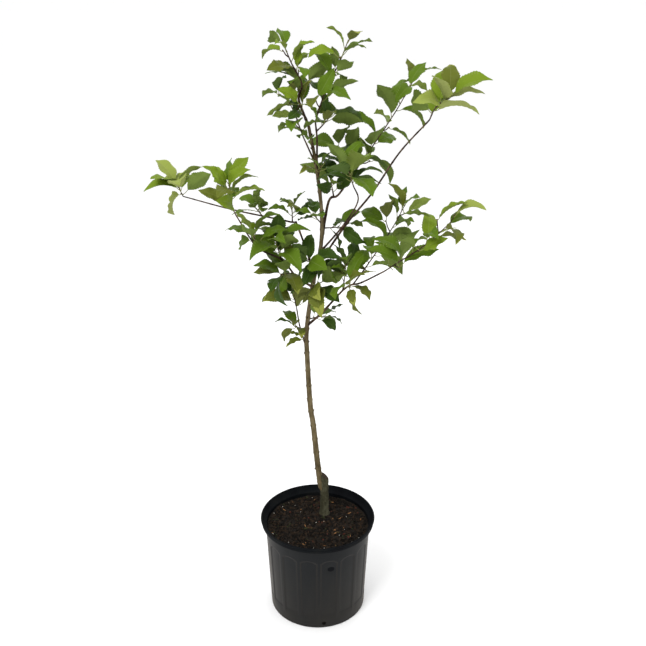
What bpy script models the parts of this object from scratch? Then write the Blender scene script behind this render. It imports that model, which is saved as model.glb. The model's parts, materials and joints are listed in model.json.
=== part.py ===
"""A grafted apple tree about 1.4 m tall, standing in a black nursery pot.

Lengths in the tables are millimetres and angles are degrees; MM turns millimetres into metres.
+Z is up, -Y is the front, and the origin is the centre of the pot's flat underside.
A bearing is counted from +X towards +Y, and a climb is the angle above the horizontal.
"""
import math
import random
from collections import namedtuple

import bmesh
import bpy
from mathutils import Matrix, Vector
from mathutils.bvhtree import BVHTree
from mathutils.kdtree import KDTree

MM = 0.001
UP = Vector((0, 0, 1))
GAP = 0.3                     # left between neighbouring pieces

# The pot
POT_HEIGHT = 246
RIM_RADIUS = 140
WALL_TOP_RADIUS = 128.5       # of the wall, just below the rim
BASE_RADIUS = 117.5
WALL = 2.4
FLOOR = 3
LIP_DROP = 14                 # from the top of the rim to the underside of its lip
PANELS = 16
PANEL_SIDES = 3               # pot sides to a panel
PANEL_DEPTH = 1.2
PANEL_EDGE = 0.87             # share of half a panel, beyond which the wall is a rib
PANEL_FOOT = 24               # height where the panels begin
PANEL_TOP = 202               # height of the crown of each arch
PANEL_FADES = (14, 2.5)       # over these heights a panel deepens, from its foot and from its arch
ARCH_RISE = 16
FIRST_RIB_BEARING = 271.6
DRAIN_HOLES = 4
DRAIN_BEARING = 277.6
DRAIN_RADIUS = 5.5
DRAIN_HEIGHT = 13
DRAIN_SIDES = 10
DRILL_LENGTH = 16

# The rolled rim, from its top down to its lip, each point (outwards, upwards) from its outer top edge
RIM_STEPS = ((-3.5, 0), (-0.8, -0.6), (0, -2.2), (-0.8, -4.5), (-2.6, -5.3), (-1.6, -6.7),
             (-2.4, -12.8), (-5, -14))
NECK = 3                      # the wall meets the rim this far below the lip
THROAT = (-6.5, -10)          # inside the rim, from the same edge
CORNER = 3                    # where the wall turns into the floor
FOOT_CHAMFER = 1.2

# The bark mix that fills it
SOIL_LEVEL = 221
SOIL_CLEARANCE = 0.5          # sideways, to the inside of the pot
SOIL_LUMPS = 2.5
SOIL_SIDES = 36
SOIL_RINGS = (24, 48, 72, 94, 112)
SOIL_FLAT = 34                # radius of the level ground round the rootstock
SOIL_BEVEL = 5
SOIL_EDGE = 1                 # how far the mix lies lower at the pot's wall
SOIL_SEED = 7

# The rootstock, cut off aslant above the graft
STOCK_PLACE = (16.6, 45)
STOCK_RADIUS = 10.6
STOCK_HEIGHT = 114
STOCK_TAPER = 0.03
STOCK_SIDES = 14
FLARE_RADIUS = 13.5
FLARE_HEIGHT = 16
CUT_SLOPE = 42

# The scion: the trunk proper, from the bud union inside the rootstock to the fork below the leader
UNION_PLACE = (15, 45, 292)
TRUNK_LEGS = ((14, 180, 60), (51, 188, 82), (122, 200, 84.3), (54, 196, 82.4), (134, 220, 86.4),
              (64, 264, 87), (110, 337, 82), (92, 340, 78), (82, 296, 87), (98, 204, 83), (86, 201, 79))
TRUNK_FOOT_RADIUS = 7.4
TRUNK_TIP_RADIUS = 3.2

# A limb leaves its parent at a distance along it, or goes on from its tip where that is None.
# Its legs are (length, bearing, climb), and a smooth curve runs through their ends.
Limb = namedtuple("Limb", "parent along legs foot tip")
BOUGHS = {
    "bough_upright": Limb("trunk", 650, ((70, 40, 78), (31, 40, 68), (19, 23, 16), (52, 31, 48)), 3.9, 1.7),
    "bough_middle_right": Limb("trunk", 630, ((99, 316, 47), (68, 327, 58), (35, 182, 73)), 2.4, 1.3),
    "bough_long_right": Limb("trunk", 595, ((125, 333, 56), (100, 328, 51), (105, 328, 56), (94, 328, 48)),
                             2.6, 1.5),
    "bough_long_left": Limb("trunk", 575, ((115, 152, 68), (19, 159, 24), (135, 165, 8), (120, 165, 11)),
                            2.5, 1.3),
    "bough_low_left": Limb("trunk", 545, ((56, 213, 39), (52, 207, 52), (64, 203, 32), (78, 208, 58),
                                          (27, 213, 63)), 2.5, 1.3),
    "bough_short_left": Limb("trunk", 390, ((52, 133, 64), (44, 119, 69)), 2.2, 1.4),
    "bough_low_right": Limb("trunk", 450, ((56, 326, 44), (94, 328, 49), (39, 338, 25), (60, 337, 32)),
                            2.9, 1.6),
    "bough_top_right": Limb("trunk", 815, ((66, 273, 76), (39, 242, 80)), 2.4, 1.7),
    "bough_top_left": Limb("trunk", 825, ((70, 214, 63),), 2.0, 1.4),
}

# A mass is a leafy shoot: a stem, its leaves, and every few leaves a spur with a rosette.
# bare is the share of the stem below the first leaf, and blade the length of a full-grown leaf.
Mass = namedtuple("Mass", "parent along legs foot bare leaves spur_every blade")
MASSES = {
    "leaves_leader": Mass("trunk", None, ((60, 208, 68), (31, 323, 74), (48, 198, 63), (44, 208, 66)),
                          3.1, 0.08, 17, 4, 64),
    "leaves_top_right": Mass("bough_top_right", None, ((42, 334, 71), (48, 341, 66), (39, 344, 62),
                                                       (44, 338, 67)), 1.6, 0.06, 13, 4, 66),
    "leaves_top_inner": Mass("bough_top_right", 85, ((20, 34, 36), (26, 30, 42)), 1.5, 0.3, 7, 0, 72),
    "leaves_top_left": Mass("bough_top_left", None, ((60, 218, 66), (34, 210, 58)), 1.4, 0.05, 10, 4, 56),
    "leaves_trunk_top": Mass("trunk", 855, ((34, 245, 65),), 1.4, 0.3, 6, 0, 66),
    "leaves_trunk_high": Mass("trunk", 800, ((28, 298, 58),), 1.4, 0.4, 5, 0, 56),
    "leaves_trunk_middle": Mass("trunk", 695, ((35, 216, 47),), 1.4, 0.4, 5, 0, 56),
    "leaves_upright_left": Mass("bough_upright", 148, ((33, 15, 84), (44, 73, 82)), 1.6, 0.12, 12, 4, 82),
    "leaves_upright_inner": Mass("bough_upright", 110, ((40, 251, 62),), 1.5, 0.3, 8, 0, 72),
    "leaves_upright_top": Mass("bough_upright", None, ((72, 26, 50), (94, 28, 51), (62, 32, 54),
                                                       (34, 33, 52)), 1.6, 0.02, 15, 5, 78),
    "leaves_long_right": Mass("bough_long_right", None, ((27, 323, 62), (40, 330, 38)), 1.4, 0.05, 10, 0, 94),
    "leaves_middle_right": Mass("bough_middle_right", None, ((36, 210, 70),), 1.2, 0.1, 9, 0, 90),
    "leaves_fork": Mass("bough_upright", 35, ((44, 340, 8),), 1.4, 0.3, 7, 0, 66),
    "leaves_left_bend": Mass("bough_long_left", 135, ((33, 265, 84),), 1.4, 0.25, 6, 0, 54),
    "leaves_left_middle": Mass("bough_long_left", 205, ((30, 220, 50),), 1.3, 0.25, 7, 0, 62),
    "leaves_left_tip": Mass("bough_long_left", None, ((34, 135, 50),), 1.2, 0.05, 10, 0, 78),
    "leaves_low_left_tip": Mass("bough_low_left", None, ((30, 229, 80), (30, 237, 82)), 1.2, 0.05, 12, 0, 72),
    "leaves_low_left_side": Mass("bough_low_left", 175, ((32, 130, 62),), 1.4, 0.2, 8, 0, 76),
    "leaves_low_left_top": Mass("bough_low_left", 110, ((48, 205, 74),), 1.5, 0.12, 12, 0, 82),
    "leaves_low_left_under": Mass("bough_low_left", 65, ((31, 214, 2),), 1.5, 0.25, 8, 0, 76),
    "leaves_short_left_tip": Mass("bough_short_left", None, ((24, 145, 75), (20, 144, 75)), 1.3, 0.08, 10, 0,
                                  78),
    "leaves_short_left_side": Mass("bough_short_left", 50, ((19, 224, 29),), 1.4, 0.4, 5, 0, 62),
    "leaves_trunk_low": Mass("trunk", 400, ((29, 231, 60),), 1.4, 0.4, 5, 0, 42),
    "leaves_trunk_right": Mass("trunk", 465, ((24, 15, 9), (20, 15, -3)), 1.5, 0.25, 7, 0, 54),
    "leaves_trunk_left": Mass("trunk", 600, ((40, 235, 30),), 1.4, 0.3, 7, 0, 78),
    "leaves_trunk_front": Mass("trunk", 545, ((56, 290, 28),), 1.6, 0.3, 10, 0, 88),
    "leaves_low_right_under": Mass("bough_low_right", 160, ((44, 270, 15),), 1.4, 0.2, 6, 0, 70),
    "leaves_right_centre": Mass("bough_low_right", 140, ((62, 60, 76),), 1.5, 0.2, 10, 0, 72),
    "leaves_low_right_tip": Mass("bough_low_right", None, ((40, 333, 38), (68, 335, 38), (72, 336, 46),
                                                               (24, 335, 60)), 1.5, 0.05, 16, 5, 74),
    "leaves_right": Mass("bough_low_right", 170, ((62, 35, 44), (86, 32, 49), (60, 25, 58)),
                         1.6, 0.2, 16, 4, 72),
}
SHOOT_TIP_RADIUS = 0.9

# How the limbs and shoots grow
PATH_STEP = 5                 # between the points of a limb's curve
COLLAR = 0.35                 # a limb's foot is thicker by this share
COLLAR_LIMIT = 0.95           # but no thicker than this share of its parent
COLLAR_LENGTH = 12
CROWN_SEED = 157
SPACE = 125                   # how far from its stem a mass may reach
LAST_LEAF = 0.985             # share of the stem below the topmost leaf
SPUR_LENGTHS = (12, 30)
SPUR_LEAVES = 3
SPUR_RADIUS = 1.2
SPUR_YOUTH = 0.35
SPUR_LEAN = 0.6               # how far it leans along its stem
SPUR_RISE = 0.5
SPUR_TAPER = 0.2
SPUR_ROOM = 14                # within which a limb's thickness matters to a spur
THICKEST_LIMB = 12

# How a leaf grows. Youth runs from 0 at a shoot's foot to 1 at its tip, and the youngest leaves lose
# these shares of their petiole, droop and length.
FIRST_LEAF = 0.6              # where the first leaf sits, in steps from the stem's bare part
GOLDEN_ANGLE = 137.5
TURN_WANDER = 28
YOUTH_POWER = 2               # how late on a shoot youth sets in
SPREADS = (74, 28)            # between stem and petiole, on the oldest leaf and on the youngest
SPREAD_WANDER = 14
LIFT = 0.25                   # how far petioles turn up to the light
PETIOLES = (10, 20)
PETIOLE_RADIUS = 0.7
DROOPS = (-0.3, 0.6)          # how far a blade leans down or up from its petiole's way
LENGTHS = (0.76, 1.14)        # shares of the mass's blade
WIDTHS = (0.42, 0.58)         # shares of the leaf's own length
ARCHES = (30, 105)            # how far a blade bends down from its foot to its tip
KEELS = (8, 24)               # how far each half is folded up
ROLL = 40                     # about the midrib, as a standard deviation
LEAN_OUT = 0.3                # how far faces turn away from the stem
YOUNG_PETIOLE, YOUNG_DROOP, YOUNG_LENGTH = 0.4, 0.4, 0.2
BLADE_SKEW = 0.8              # under 1, which puts the widest place nearer the foot
BLADE_FULLNESS = 0.9          # under 1, which rounds the blade's shoulders
LEAF_THICKNESS = 1.2
LEAF_STATIONS = (0.3, 0.72)   # where the solid blade has its cross-sections
LEAF_CLEARANCE = 0.8          # to any other leaf or limb
TRIES = 14                    # draws before a leaf is left out
PETIOLE_FACES = 7             # of a leaf solid

# Bevel resolution of a limb's tube, and how many of its curve's points it skips
TRUNK_TUBE = (2, 6)
BOUGH_TUBE = (1, 4)
STEM_TUBE = (0, 4)
WELD = 0.001                  # between points that are one
SMOOTH_ANGLE = 40
LEAF_SMOOTH_ANGLE = 25

MATERIALS = {
    "black_plastic": ((0.012, 0.012, 0.013), 0.42),
    "bark_mix": ((0.035, 0.022, 0.015), 0.95),
    "bark": ((0.105, 0.082, 0.055), 0.8),
    "leaf": ((0.075, 0.16, 0.03), 0.5),
}

Wood = namedtuple("Wood", "points radii")
Leaf = namedtuple("Leaf", "root stalk petiole start forward side up length width arch keel")
Standing = namedtuple("Standing", "centre reach tree owner")


def heading(bearing, climb):
    """Unit vector of a direction given in degrees."""
    b, c = math.radians(bearing), math.radians(climb)
    return Vector((math.cos(c) * math.cos(b), math.cos(c) * math.sin(b), math.sin(c)))


def curve_through(start, legs):
    """Points about PATH_STEP apart on a smooth curve through the ends of the legs."""
    corners = [Vector(start)]
    for length, bearing, climb in legs:
        corners.append(corners[-1] + heading(bearing, climb) * length)
    before = corners[0] * 2 - corners[1]
    after = corners[-1] * 2 - corners[-2]
    chain = [before] + corners + [after]
    points = []
    for p0, p1, p2, p3 in zip(chain, chain[1:], chain[2:], chain[3:]):
        count = max(2, round((p2 - p1).length / PATH_STEP))
        for number in range(count):
            t = number / count
            points.append(0.5 * (2 * p1 + (p2 - p0) * t + (2 * p0 - 5 * p1 + 4 * p2 - p3) * t * t
                                 + (3 * p1 - p0 - 3 * p2 + p3) * t ** 3))
    return points + [corners[-1]]


def place_on(points, distance):
    """The point at a distance along a curve, and the curve's direction there."""
    walked = 0
    for a, b in zip(points, points[1:]):
        step = (b - a).length
        if walked + step >= distance:
            return a.lerp(b, (distance - walked) / step), (b - a).normalized()
        walked += step
    return points[-1].copy(), (points[-1] - points[-2]).normalized()


def curve_length(points):
    return sum((b - a).length for a, b in zip(points, points[1:]))


def radius_on(limb, distance):
    """A limb's radius at a distance along it."""
    return limb.radii[min(round(distance / PATH_STEP), len(limb.radii) - 1)]


def taper(points, foot, tip, collar):
    """Radius at each point: an even taper, and at the foot a collar that is thicker by a share."""
    length = curve_length(points)
    radii, walked = [], 0
    for number, point in enumerate(points):
        if number:
            walked += (point - points[number - 1]).length
        share = walked / length
        radii.append((foot + (tip - foot) * share) * (1 + collar * math.exp(-walked / COLLAR_LENGTH)))
    return Wood(points, radii)


def grow_limb(spec, parent, tip):
    """A limb from a place on its parent's axis, with a collar, or on from its parent's tip."""
    if spec.along is None:
        points = curve_through(parent.points[-1], spec.legs)
        steps = len(points) - 1
        return Wood(points, [spec.foot + (tip - spec.foot) * n / steps for n in range(steps + 1)])
    start, _ = place_on(parent.points, spec.along)
    collar = min(COLLAR, COLLAR_LIMIT * radius_on(parent, spec.along) / spec.foot - 1)
    return taper(curve_through(start, spec.legs), spec.foot, tip, collar)


def grow_wood():
    """Every limb's curve and radii, from the trunk out to the stems of the masses."""
    trunk = curve_through(UNION_PLACE, TRUNK_LEGS)
    wood = {"trunk": taper(trunk, TRUNK_FOOT_RADIUS, TRUNK_TIP_RADIUS, COLLAR)}
    for name, spec in BOUGHS.items():
        wood[name] = grow_limb(spec, wood[spec.parent], spec.tip)
    for name, spec in MASSES.items():
        wood[name] = grow_limb(spec, wood[spec.parent], SHOOT_TIP_RADIUS)
    return wood


def make_leaf(dice, seat, blade):
    """One leaf; its seat is a root, the way of the axis it sits on, its turn about that and its youth."""
    root, along, turn, youth = seat
    cross = along.orthogonal().normalized()
    bearing = math.radians(turn + dice.uniform(-TURN_WANDER, TURN_WANDER))
    outward = Matrix.Rotation(bearing, 3, along) @ cross
    oldest, youngest = SPREADS
    spread = math.radians(oldest + (youngest - oldest) * youth + dice.uniform(-SPREAD_WANDER, SPREAD_WANDER))
    stalk = (along * math.cos(spread) + outward * math.sin(spread) + UP * LIFT).normalized()
    petiole = dice.uniform(*PETIOLES) * (1 - YOUNG_PETIOLE * youth)
    droop = dice.uniform(*DROOPS) * (1 - YOUNG_DROOP * youth)
    forward = (stalk + UP * droop).normalized()
    face = UP - outward * LEAN_OUT
    face = (face - forward * face.dot(forward)).normalized()
    up = Matrix.Rotation(math.radians(dice.gauss(0, ROLL)), 3, forward) @ face
    length = blade * dice.uniform(*LENGTHS) * (1 - YOUNG_LENGTH * youth)
    width = length * dice.uniform(*WIDTHS)
    arch = math.radians(dice.uniform(*ARCHES))
    keel = math.radians(dice.uniform(*KEELS))
    start = root + stalk * petiole
    return Leaf(root, stalk, petiole, start, forward, forward.cross(up), up, length, width, arch, keel)


def blade_place(leaf, share):
    """Centre of the blade at a share of its length, on a downward arc, and its upward normal there."""
    bend = leaf.arch * share
    radius = leaf.length / leaf.arch
    centre = leaf.start + leaf.forward * (radius * math.sin(bend)) - leaf.up * (radius * (1 - math.cos(bend)))
    return centre, leaf.up * math.cos(bend) + leaf.forward * math.sin(bend)


def half_width(leaf, share):
    """Half the blade's width: egg-shaped, widest below the middle."""
    return 0.5 * leaf.width * math.sin(math.pi * share ** BLADE_SKEW) ** BLADE_FULLNESS


def leaf_mesh(leaf, swell=0):
    """Vertices and triangles of a leaf solid: three-sided petiole, keeled blade and pointed tip.

    The petiole's faces come first. Each ring runs left, below, right and, on the blade, above."""
    rise = leaf.side.cross(leaf.stalk).normalized()
    radius = PETIOLE_RADIUS + swell
    points = []
    for centre, up in ((leaf.root, rise), (leaf.start, leaf.up)):
        points += [centre - leaf.side * radius, centre - up * radius, centre + leaf.side * radius]
    for share in LEAF_STATIONS:
        centre, up = blade_place(leaf, share)
        half, thick = half_width(leaf, share), LEAF_THICKNESS / 2 + swell
        edge, raised = leaf.side * (half * math.cos(leaf.keel) + swell), up * (half * math.sin(leaf.keel))
        points += [centre - edge + raised, centre - up * thick, centre + edge + raised, centre + up * thick]
    points.append(blade_place(leaf, 1 + swell / leaf.length)[0])
    faces = [(0, 1, 2)] + skin((0, 1, 2), (3, 4, 5))
    faces += skin((3, 4, 5), (6, 7, 8), closed=False) + [(3, 5, 9), (3, 9, 6), (5, 8, 9)]
    faces += skin((6, 7, 8, 9), (10, 11, 12, 13))
    faces += [(b, a, 14) for a, b in ((10, 11), (11, 12), (12, 13), (13, 10))]
    return points, faces


def skin(low, high, closed=True):
    """Triangles between two rings of vertices, each turned the way that makes them face out."""
    faces = []
    for n in range(len(low) if closed else len(low) - 1):
        m = (n + 1) % len(low)
        faces += [(low[m], low[n], high[n]), (low[m], high[n], high[m])]
    return faces


class Space:
    """What already stands in the crown, and whether something new keeps clear of it."""

    def __init__(self, wood):
        self.leaves = []
        self.samples = []
        for name, limb in wood.items():
            self.add_wood(name, limb)
        self.index()

    def add_wood(self, name, limb):
        """Samples a limb at the points of its curve and halfway between them."""
        points, radii = limb.points, limb.radii
        halfway = [low.lerp(high, 0.5) for low, high in zip(points, points[1:])]
        self.samples += [(point, radius, name) for point, radius in zip(points + halfway, radii + radii)]

    def index(self):
        self.tree = KDTree(len(self.samples))
        for number, (point, _, _) in enumerate(self.samples):
            self.tree.insert(point, number)
        self.tree.balance()

    def takes_leaf(self, leaf, owner, axis):
        """Keeps the leaf, and says so, if it touches nothing and stays in its mass's space."""
        points, faces = leaf_mesh(leaf, LEAF_CLEARANCE)
        if min((points[-1] - point).length for point in axis.points) > SPACE:
            return False
        centre = (leaf.root + points[-1]) / 2
        reach = max((point - centre).length for point in points)
        whole = BVHTree.FromPolygons(points, faces)
        blade = BVHTree.FromPolygons(points, faces[PETIOLE_FACES:])
        for place, number, _ in self.tree.find_range(centre, reach + THICKEST_LIMB):
            _, radius, name = self.samples[number]
            near = (blade if name == owner else whole).find_nearest(place, radius + LEAF_CLEARANCE)
            if near[0] is not None:
                return False
        for other in self.leaves:
            if (other.centre - centre).length < reach + other.reach and whole.overlap(other.tree):
                return False
        self.leaves.append(Standing(centre, reach, whole, owner))
        return True

    def takes_spur(self, spur, owner):
        """Keeps the spur, and says so, if it keeps clear of the leaves and limbs of other masses."""
        for point, radius in zip(spur.points[1:], spur.radii[1:]):
            for other in self.leaves:
                near = other.tree.find_nearest(point, radius + LEAF_CLEARANCE)
                if other.owner != owner and near[0] is not None:
                    return False
            for place, number, away in self.tree.find_range(point, SPUR_ROOM):
                _, thick, name = self.samples[number]
                if name != owner and away < thick + radius + LEAF_CLEARANCE:
                    return False
        self.add_wood(owner, spur)
        self.index()
        return True


def grow_spur(dice, root, along, turn):
    """A short woody side shoot that bends upwards, with its curve's last direction."""
    cross = Matrix.Rotation(math.radians(turn), 3, along) @ along.orthogonal().normalized()
    way = (along * SPUR_LEAN + cross).normalized()
    bent = (way + UP * SPUR_RISE).normalized()
    reach = dice.uniform(*SPUR_LENGTHS)
    knee = root + way * reach / 2
    tip = knee + bent * reach / 2
    points = [root, root.lerp(knee, 0.5), knee, knee.lerp(tip, 0.5), tip]
    steps = len(points) - 1
    return Wood(points, [SPUR_RADIUS * (1 - SPUR_TAPER * n / steps) for n in range(steps + 1)]), bent


def grow_mass(name, spec, stem, space):
    """The spurs and leaves of one mass, by a seeded rule."""
    length = curve_length(stem.points)
    spurs, leaves = [], []
    turn = random.Random(f"{name} {CROWN_SEED}").uniform(0, 360)
    for number in range(spec.leaves):
        dice = random.Random(f"{name} {CROWN_SEED} {number}")
        turn += GOLDEN_ANGLE
        share = spec.bare + (1 - spec.bare) * (number + FIRST_LEAF) / spec.leaves
        root, along = place_on(stem.points, length * min(share, LAST_LEAF))
        seats = [(root, along, turn, share ** YOUTH_POWER)]
        if spec.spur_every and number % spec.spur_every == 1:
            spur, bent = grow_spur(dice, root, along, turn)
            if space.takes_spur(spur, name):
                spurs.append(spur)
                seats = [(spur.points[-1] - bent, bent, turn + GOLDEN_ANGLE * n, SPUR_YOUTH)
                         for n in range(SPUR_LEAVES)]
        for seat in seats:
            for _ in range(TRIES):
                leaf = make_leaf(dice, seat, spec.blade)
                if space.takes_leaf(leaf, name, stem):
                    leaves.append(leaf)
                    break
    return spurs, leaves


def grow_crown(wood):
    """Spurs and leaves of every mass, each keeping clear of those before it."""
    space = Space(wood)
    return {name: grow_mass(name, spec, wood[name], space) for name, spec in MASSES.items()}


def clear_scene():
    for item in list(bpy.data.objects):
        bpy.data.objects.remove(item, do_unlink=True)


def new_collection(name):
    collection = bpy.data.collections.new(name)
    bpy.context.scene.collection.children.link(collection)
    return collection


def make_material(name):
    colour, roughness = MATERIALS[name]
    material = bpy.data.materials.new(name)
    material.use_nodes = True
    shader = material.node_tree.nodes["Principled BSDF"]
    shader.inputs["Base Color"].default_value = (*colour, 1)
    shader.inputs["Roughness"].default_value = roughness
    return material


def finish_piece(piece, material, smooth_angle=SMOOTH_ANGLE):
    piece.data.materials.clear()
    piece.data.materials.append(make_material(material))
    piece.data.shade_smooth()
    piece.data.set_sharp_from_angle(angle=math.radians(smooth_angle))
    return piece


def as_mesh(source, name, collection):
    """Replaces an object by a plain mesh of what its modifiers show, with loose caps welded."""
    graph = bpy.context.evaluated_depsgraph_get()
    mesh = bpy.data.meshes.new_from_object(source.evaluated_get(graph))
    place = source.matrix_world.copy()
    bpy.data.objects.remove(source, do_unlink=True)
    shape = bmesh.new()
    shape.from_mesh(mesh)
    bmesh.ops.remove_doubles(shape, verts=shape.verts, dist=WELD * MM)
    bmesh.ops.recalc_face_normals(shape, faces=shape.faces)
    shape.to_mesh(mesh)
    shape.free()
    mesh.name = name
    piece = bpy.data.objects.new(name, mesh)
    piece.matrix_world = place
    collection.objects.link(piece)
    return piece


def tube(name, limb, collection, resolution, skip, extra=0):
    """A tapering bar along every skip-th point of a limb's curve; extra makes it thicker and longer."""
    last = len(limb.points) - 1
    picked = list(range(0, last, skip))
    if len(picked) > 1 and last - picked[-1] < skip / 2:
        picked.pop()
    points = [limb.points[number] for number in picked]
    points.append(limb.points[last] + (limb.points[last] - limb.points[last - 1]).normalized() * extra)
    picked.append(last)
    curve = bpy.data.curves.new(name, "CURVE")
    curve.dimensions = "3D"
    curve.bevel_depth = MM
    curve.bevel_resolution = resolution
    curve.use_fill_caps = True
    spline = curve.splines.new("POLY")
    spline.points.add(len(picked) - 1)
    for target, number, point in zip(spline.points, picked, points):
        target.co = (*(point * MM), 1)
        target.radius = limb.radii[number] + extra
    bar = bpy.data.objects.new(name, curve)
    collection.objects.link(bar)
    bpy.context.view_layer.update()
    return as_mesh(bar, name, collection)


def boolean(piece, operation, other):
    """Adds a Boolean with one object, or with every object of a collection."""
    cut = piece.modifiers.new(operation.lower(), "BOOLEAN")
    cut.operation = operation
    if isinstance(other, bpy.types.Collection):
        cut.operand_type = "COLLECTION"
        cut.collection = other
    else:
        cut.object = other
    return cut


def drop_scraps(piece):
    """Keeps the largest connected part of a piece."""
    shape = bmesh.new()
    shape.from_mesh(piece.data)
    unseen, parts = set(shape.verts), []
    while unseen:
        stack, part = [unseen.pop()], []
        while stack:
            vertex = stack.pop()
            part.append(vertex)
            for edge in vertex.link_edges:
                other = edge.other_vert(vertex)
                if other in unseen:
                    unseen.remove(other)
                    stack.append(other)
        parts.append(part)
    parts.sort(key=len)
    for part in parts[:-1]:
        bmesh.ops.delete(shape, geom=part, context="VERTS")
    shape.to_mesh(piece.data)
    shape.free()


def screw(name, profile, sides, collection):
    """A turned solid from (radius, height) points that run down its outer side."""
    mesh = bpy.data.meshes.new(name)
    points = [(radius * MM, 0, height * MM) for radius, height in profile]
    mesh.from_pydata(points, [(n, n + 1) for n in range(len(points) - 1)], [])
    turned = bpy.data.objects.new(name, mesh)
    collection.objects.link(turned)
    turn = turned.modifiers.new("turn", "SCREW")
    turn.steps = turn.render_steps = sides
    turn.use_merge_vertices = True
    turn.merge_threshold = WELD * MM
    bpy.context.view_layer.update()
    return as_mesh(turned, name, collection)


def wall_radius(height):
    """Outer radius of the pot's wall, which tapers evenly to its base."""
    lip = POT_HEIGHT - LIP_DROP
    return BASE_RADIUS + (WALL_TOP_RADIUS - BASE_RADIUS) * min(height, lip) / lip


def pot_profile(rows):
    """Inside of the floor, up the inner wall, over the rim, down the outer wall and under the base.

    The rows are the heights of the outer wall's edge loops, from the top down."""
    neck = POT_HEIGHT - LIP_DROP - NECK
    out, up = THROAT
    inner = wall_radius(FLOOR) - WALL
    inside = [(0, FLOOR), (inner - CORNER, FLOOR), (inner, FLOOR + CORNER), (WALL_TOP_RADIUS - WALL, neck),
              (RIM_RADIUS + out, POT_HEIGHT + up)]
    rim = [(RIM_RADIUS + out, POT_HEIGHT + up) for out, up in RIM_STEPS]
    wall = [(WALL_TOP_RADIUS, neck)] + [(wall_radius(height), height) for height in rows]
    return inside + rim + wall + [(BASE_RADIUS, FOOT_CHAMFER), (BASE_RADIUS - FOOT_CHAMFER, 0), (0, 0)]


def panel_depth(bearing, height):
    """How far the wall is pressed in: arched panels between upright ribs, fading out at the foot."""
    across = ((bearing - FIRST_RIB_BEARING) % (360 / PANELS) / (360 / PANELS) * 2 - 1) / PANEL_EDGE
    if abs(across) > 1:
        return 0
    crown = PANEL_TOP - ARCH_RISE * (1 - math.sqrt(1 - across ** 2))
    if height >= crown or height <= PANEL_FOOT:
        return 0
    low, high = PANEL_FADES
    return PANEL_DEPTH * min(1, (height - PANEL_FOOT) / low, (crown - height) / high)


def build_pot(parts, cutters):
    low, high = PANEL_FADES
    rows = (PANEL_TOP, PANEL_TOP - high, PANEL_TOP - ARCH_RISE - high, PANEL_FOOT + low, PANEL_FOOT)
    pot = screw("pot", pot_profile(rows), PANELS * PANEL_SIDES, parts)
    pot.data.transform(Matrix.Rotation(math.radians(FIRST_RIB_BEARING), 4, "Z"))
    for vertex in pot.data.vertices:
        radius, height = vertex.co.xy.length / MM, vertex.co.z / MM
        if abs(radius - wall_radius(height)) < WELD:
            bearing = math.degrees(math.atan2(vertex.co.y, vertex.co.x))
            scale = 1 - panel_depth(bearing, height) / radius
            vertex.co.x *= scale
            vertex.co.y *= scale
    for number in range(DRAIN_HOLES):
        bearing = math.radians(DRAIN_BEARING + 360 / DRAIN_HOLES * number)
        place = Vector((math.cos(bearing), math.sin(bearing), 0)) * BASE_RADIUS + UP * DRAIN_HEIGHT
        turned = Matrix.Rotation(bearing, 4, "Z") @ Matrix.Rotation(math.pi / 2, 4, "Y")
        bpy.ops.mesh.primitive_cylinder_add(vertices=DRAIN_SIDES, radius=DRAIN_RADIUS * MM,
                                            depth=DRILL_LENGTH * MM)
        drill = bpy.context.active_object
        drill.name = f"drain_cutter_{number}"
        drill.data.transform(Matrix.Translation(place * MM) @ turned)
        move_to(drill, cutters)
        boolean(pot, "DIFFERENCE", drill)
    return finish_piece(pot, "black_plastic")


def move_to(piece, collection):
    """Puts a cutter in its collection, where it shows as a wire and isn't part of the model."""
    for holder in list(piece.users_collection):
        holder.objects.unlink(piece)
    collection.objects.link(piece)
    piece.hide_render = True
    piece.display_type = "WIRE"


def build_soil(parts):
    """The bark mix: it fills the pot, and its top is uneven but flat under the rootstock."""
    def inner(height):
        return wall_radius(height) - WALL - SOIL_CLEARANCE

    foot = FLOOR + GAP
    bevel = foot + SOIL_BEVEL
    profile = [(0, SOIL_LEVEL)] + [(ring, SOIL_LEVEL) for ring in SOIL_RINGS]
    profile += [(inner(SOIL_LEVEL), SOIL_LEVEL - SOIL_EDGE), (inner(bevel), bevel),
                (inner(foot) - SOIL_BEVEL, foot), (0, foot)]
    soil = screw("soil", profile, SOIL_SIDES, parts)
    dice = random.Random(SOIL_SEED)
    foot_place = Vector((*STOCK_PLACE, SOIL_LEVEL)) * MM
    for vertex in soil.data.vertices:
        on_top = abs(vertex.co.z - SOIL_LEVEL * MM) < WELD * MM
        lump = dice.uniform(-1, 1) * SOIL_LUMPS * MM
        if on_top and (vertex.co - foot_place).length > SOIL_FLAT * MM:
            vertex.co.z += lump
    return finish_piece(soil, "bark_mix")


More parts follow.
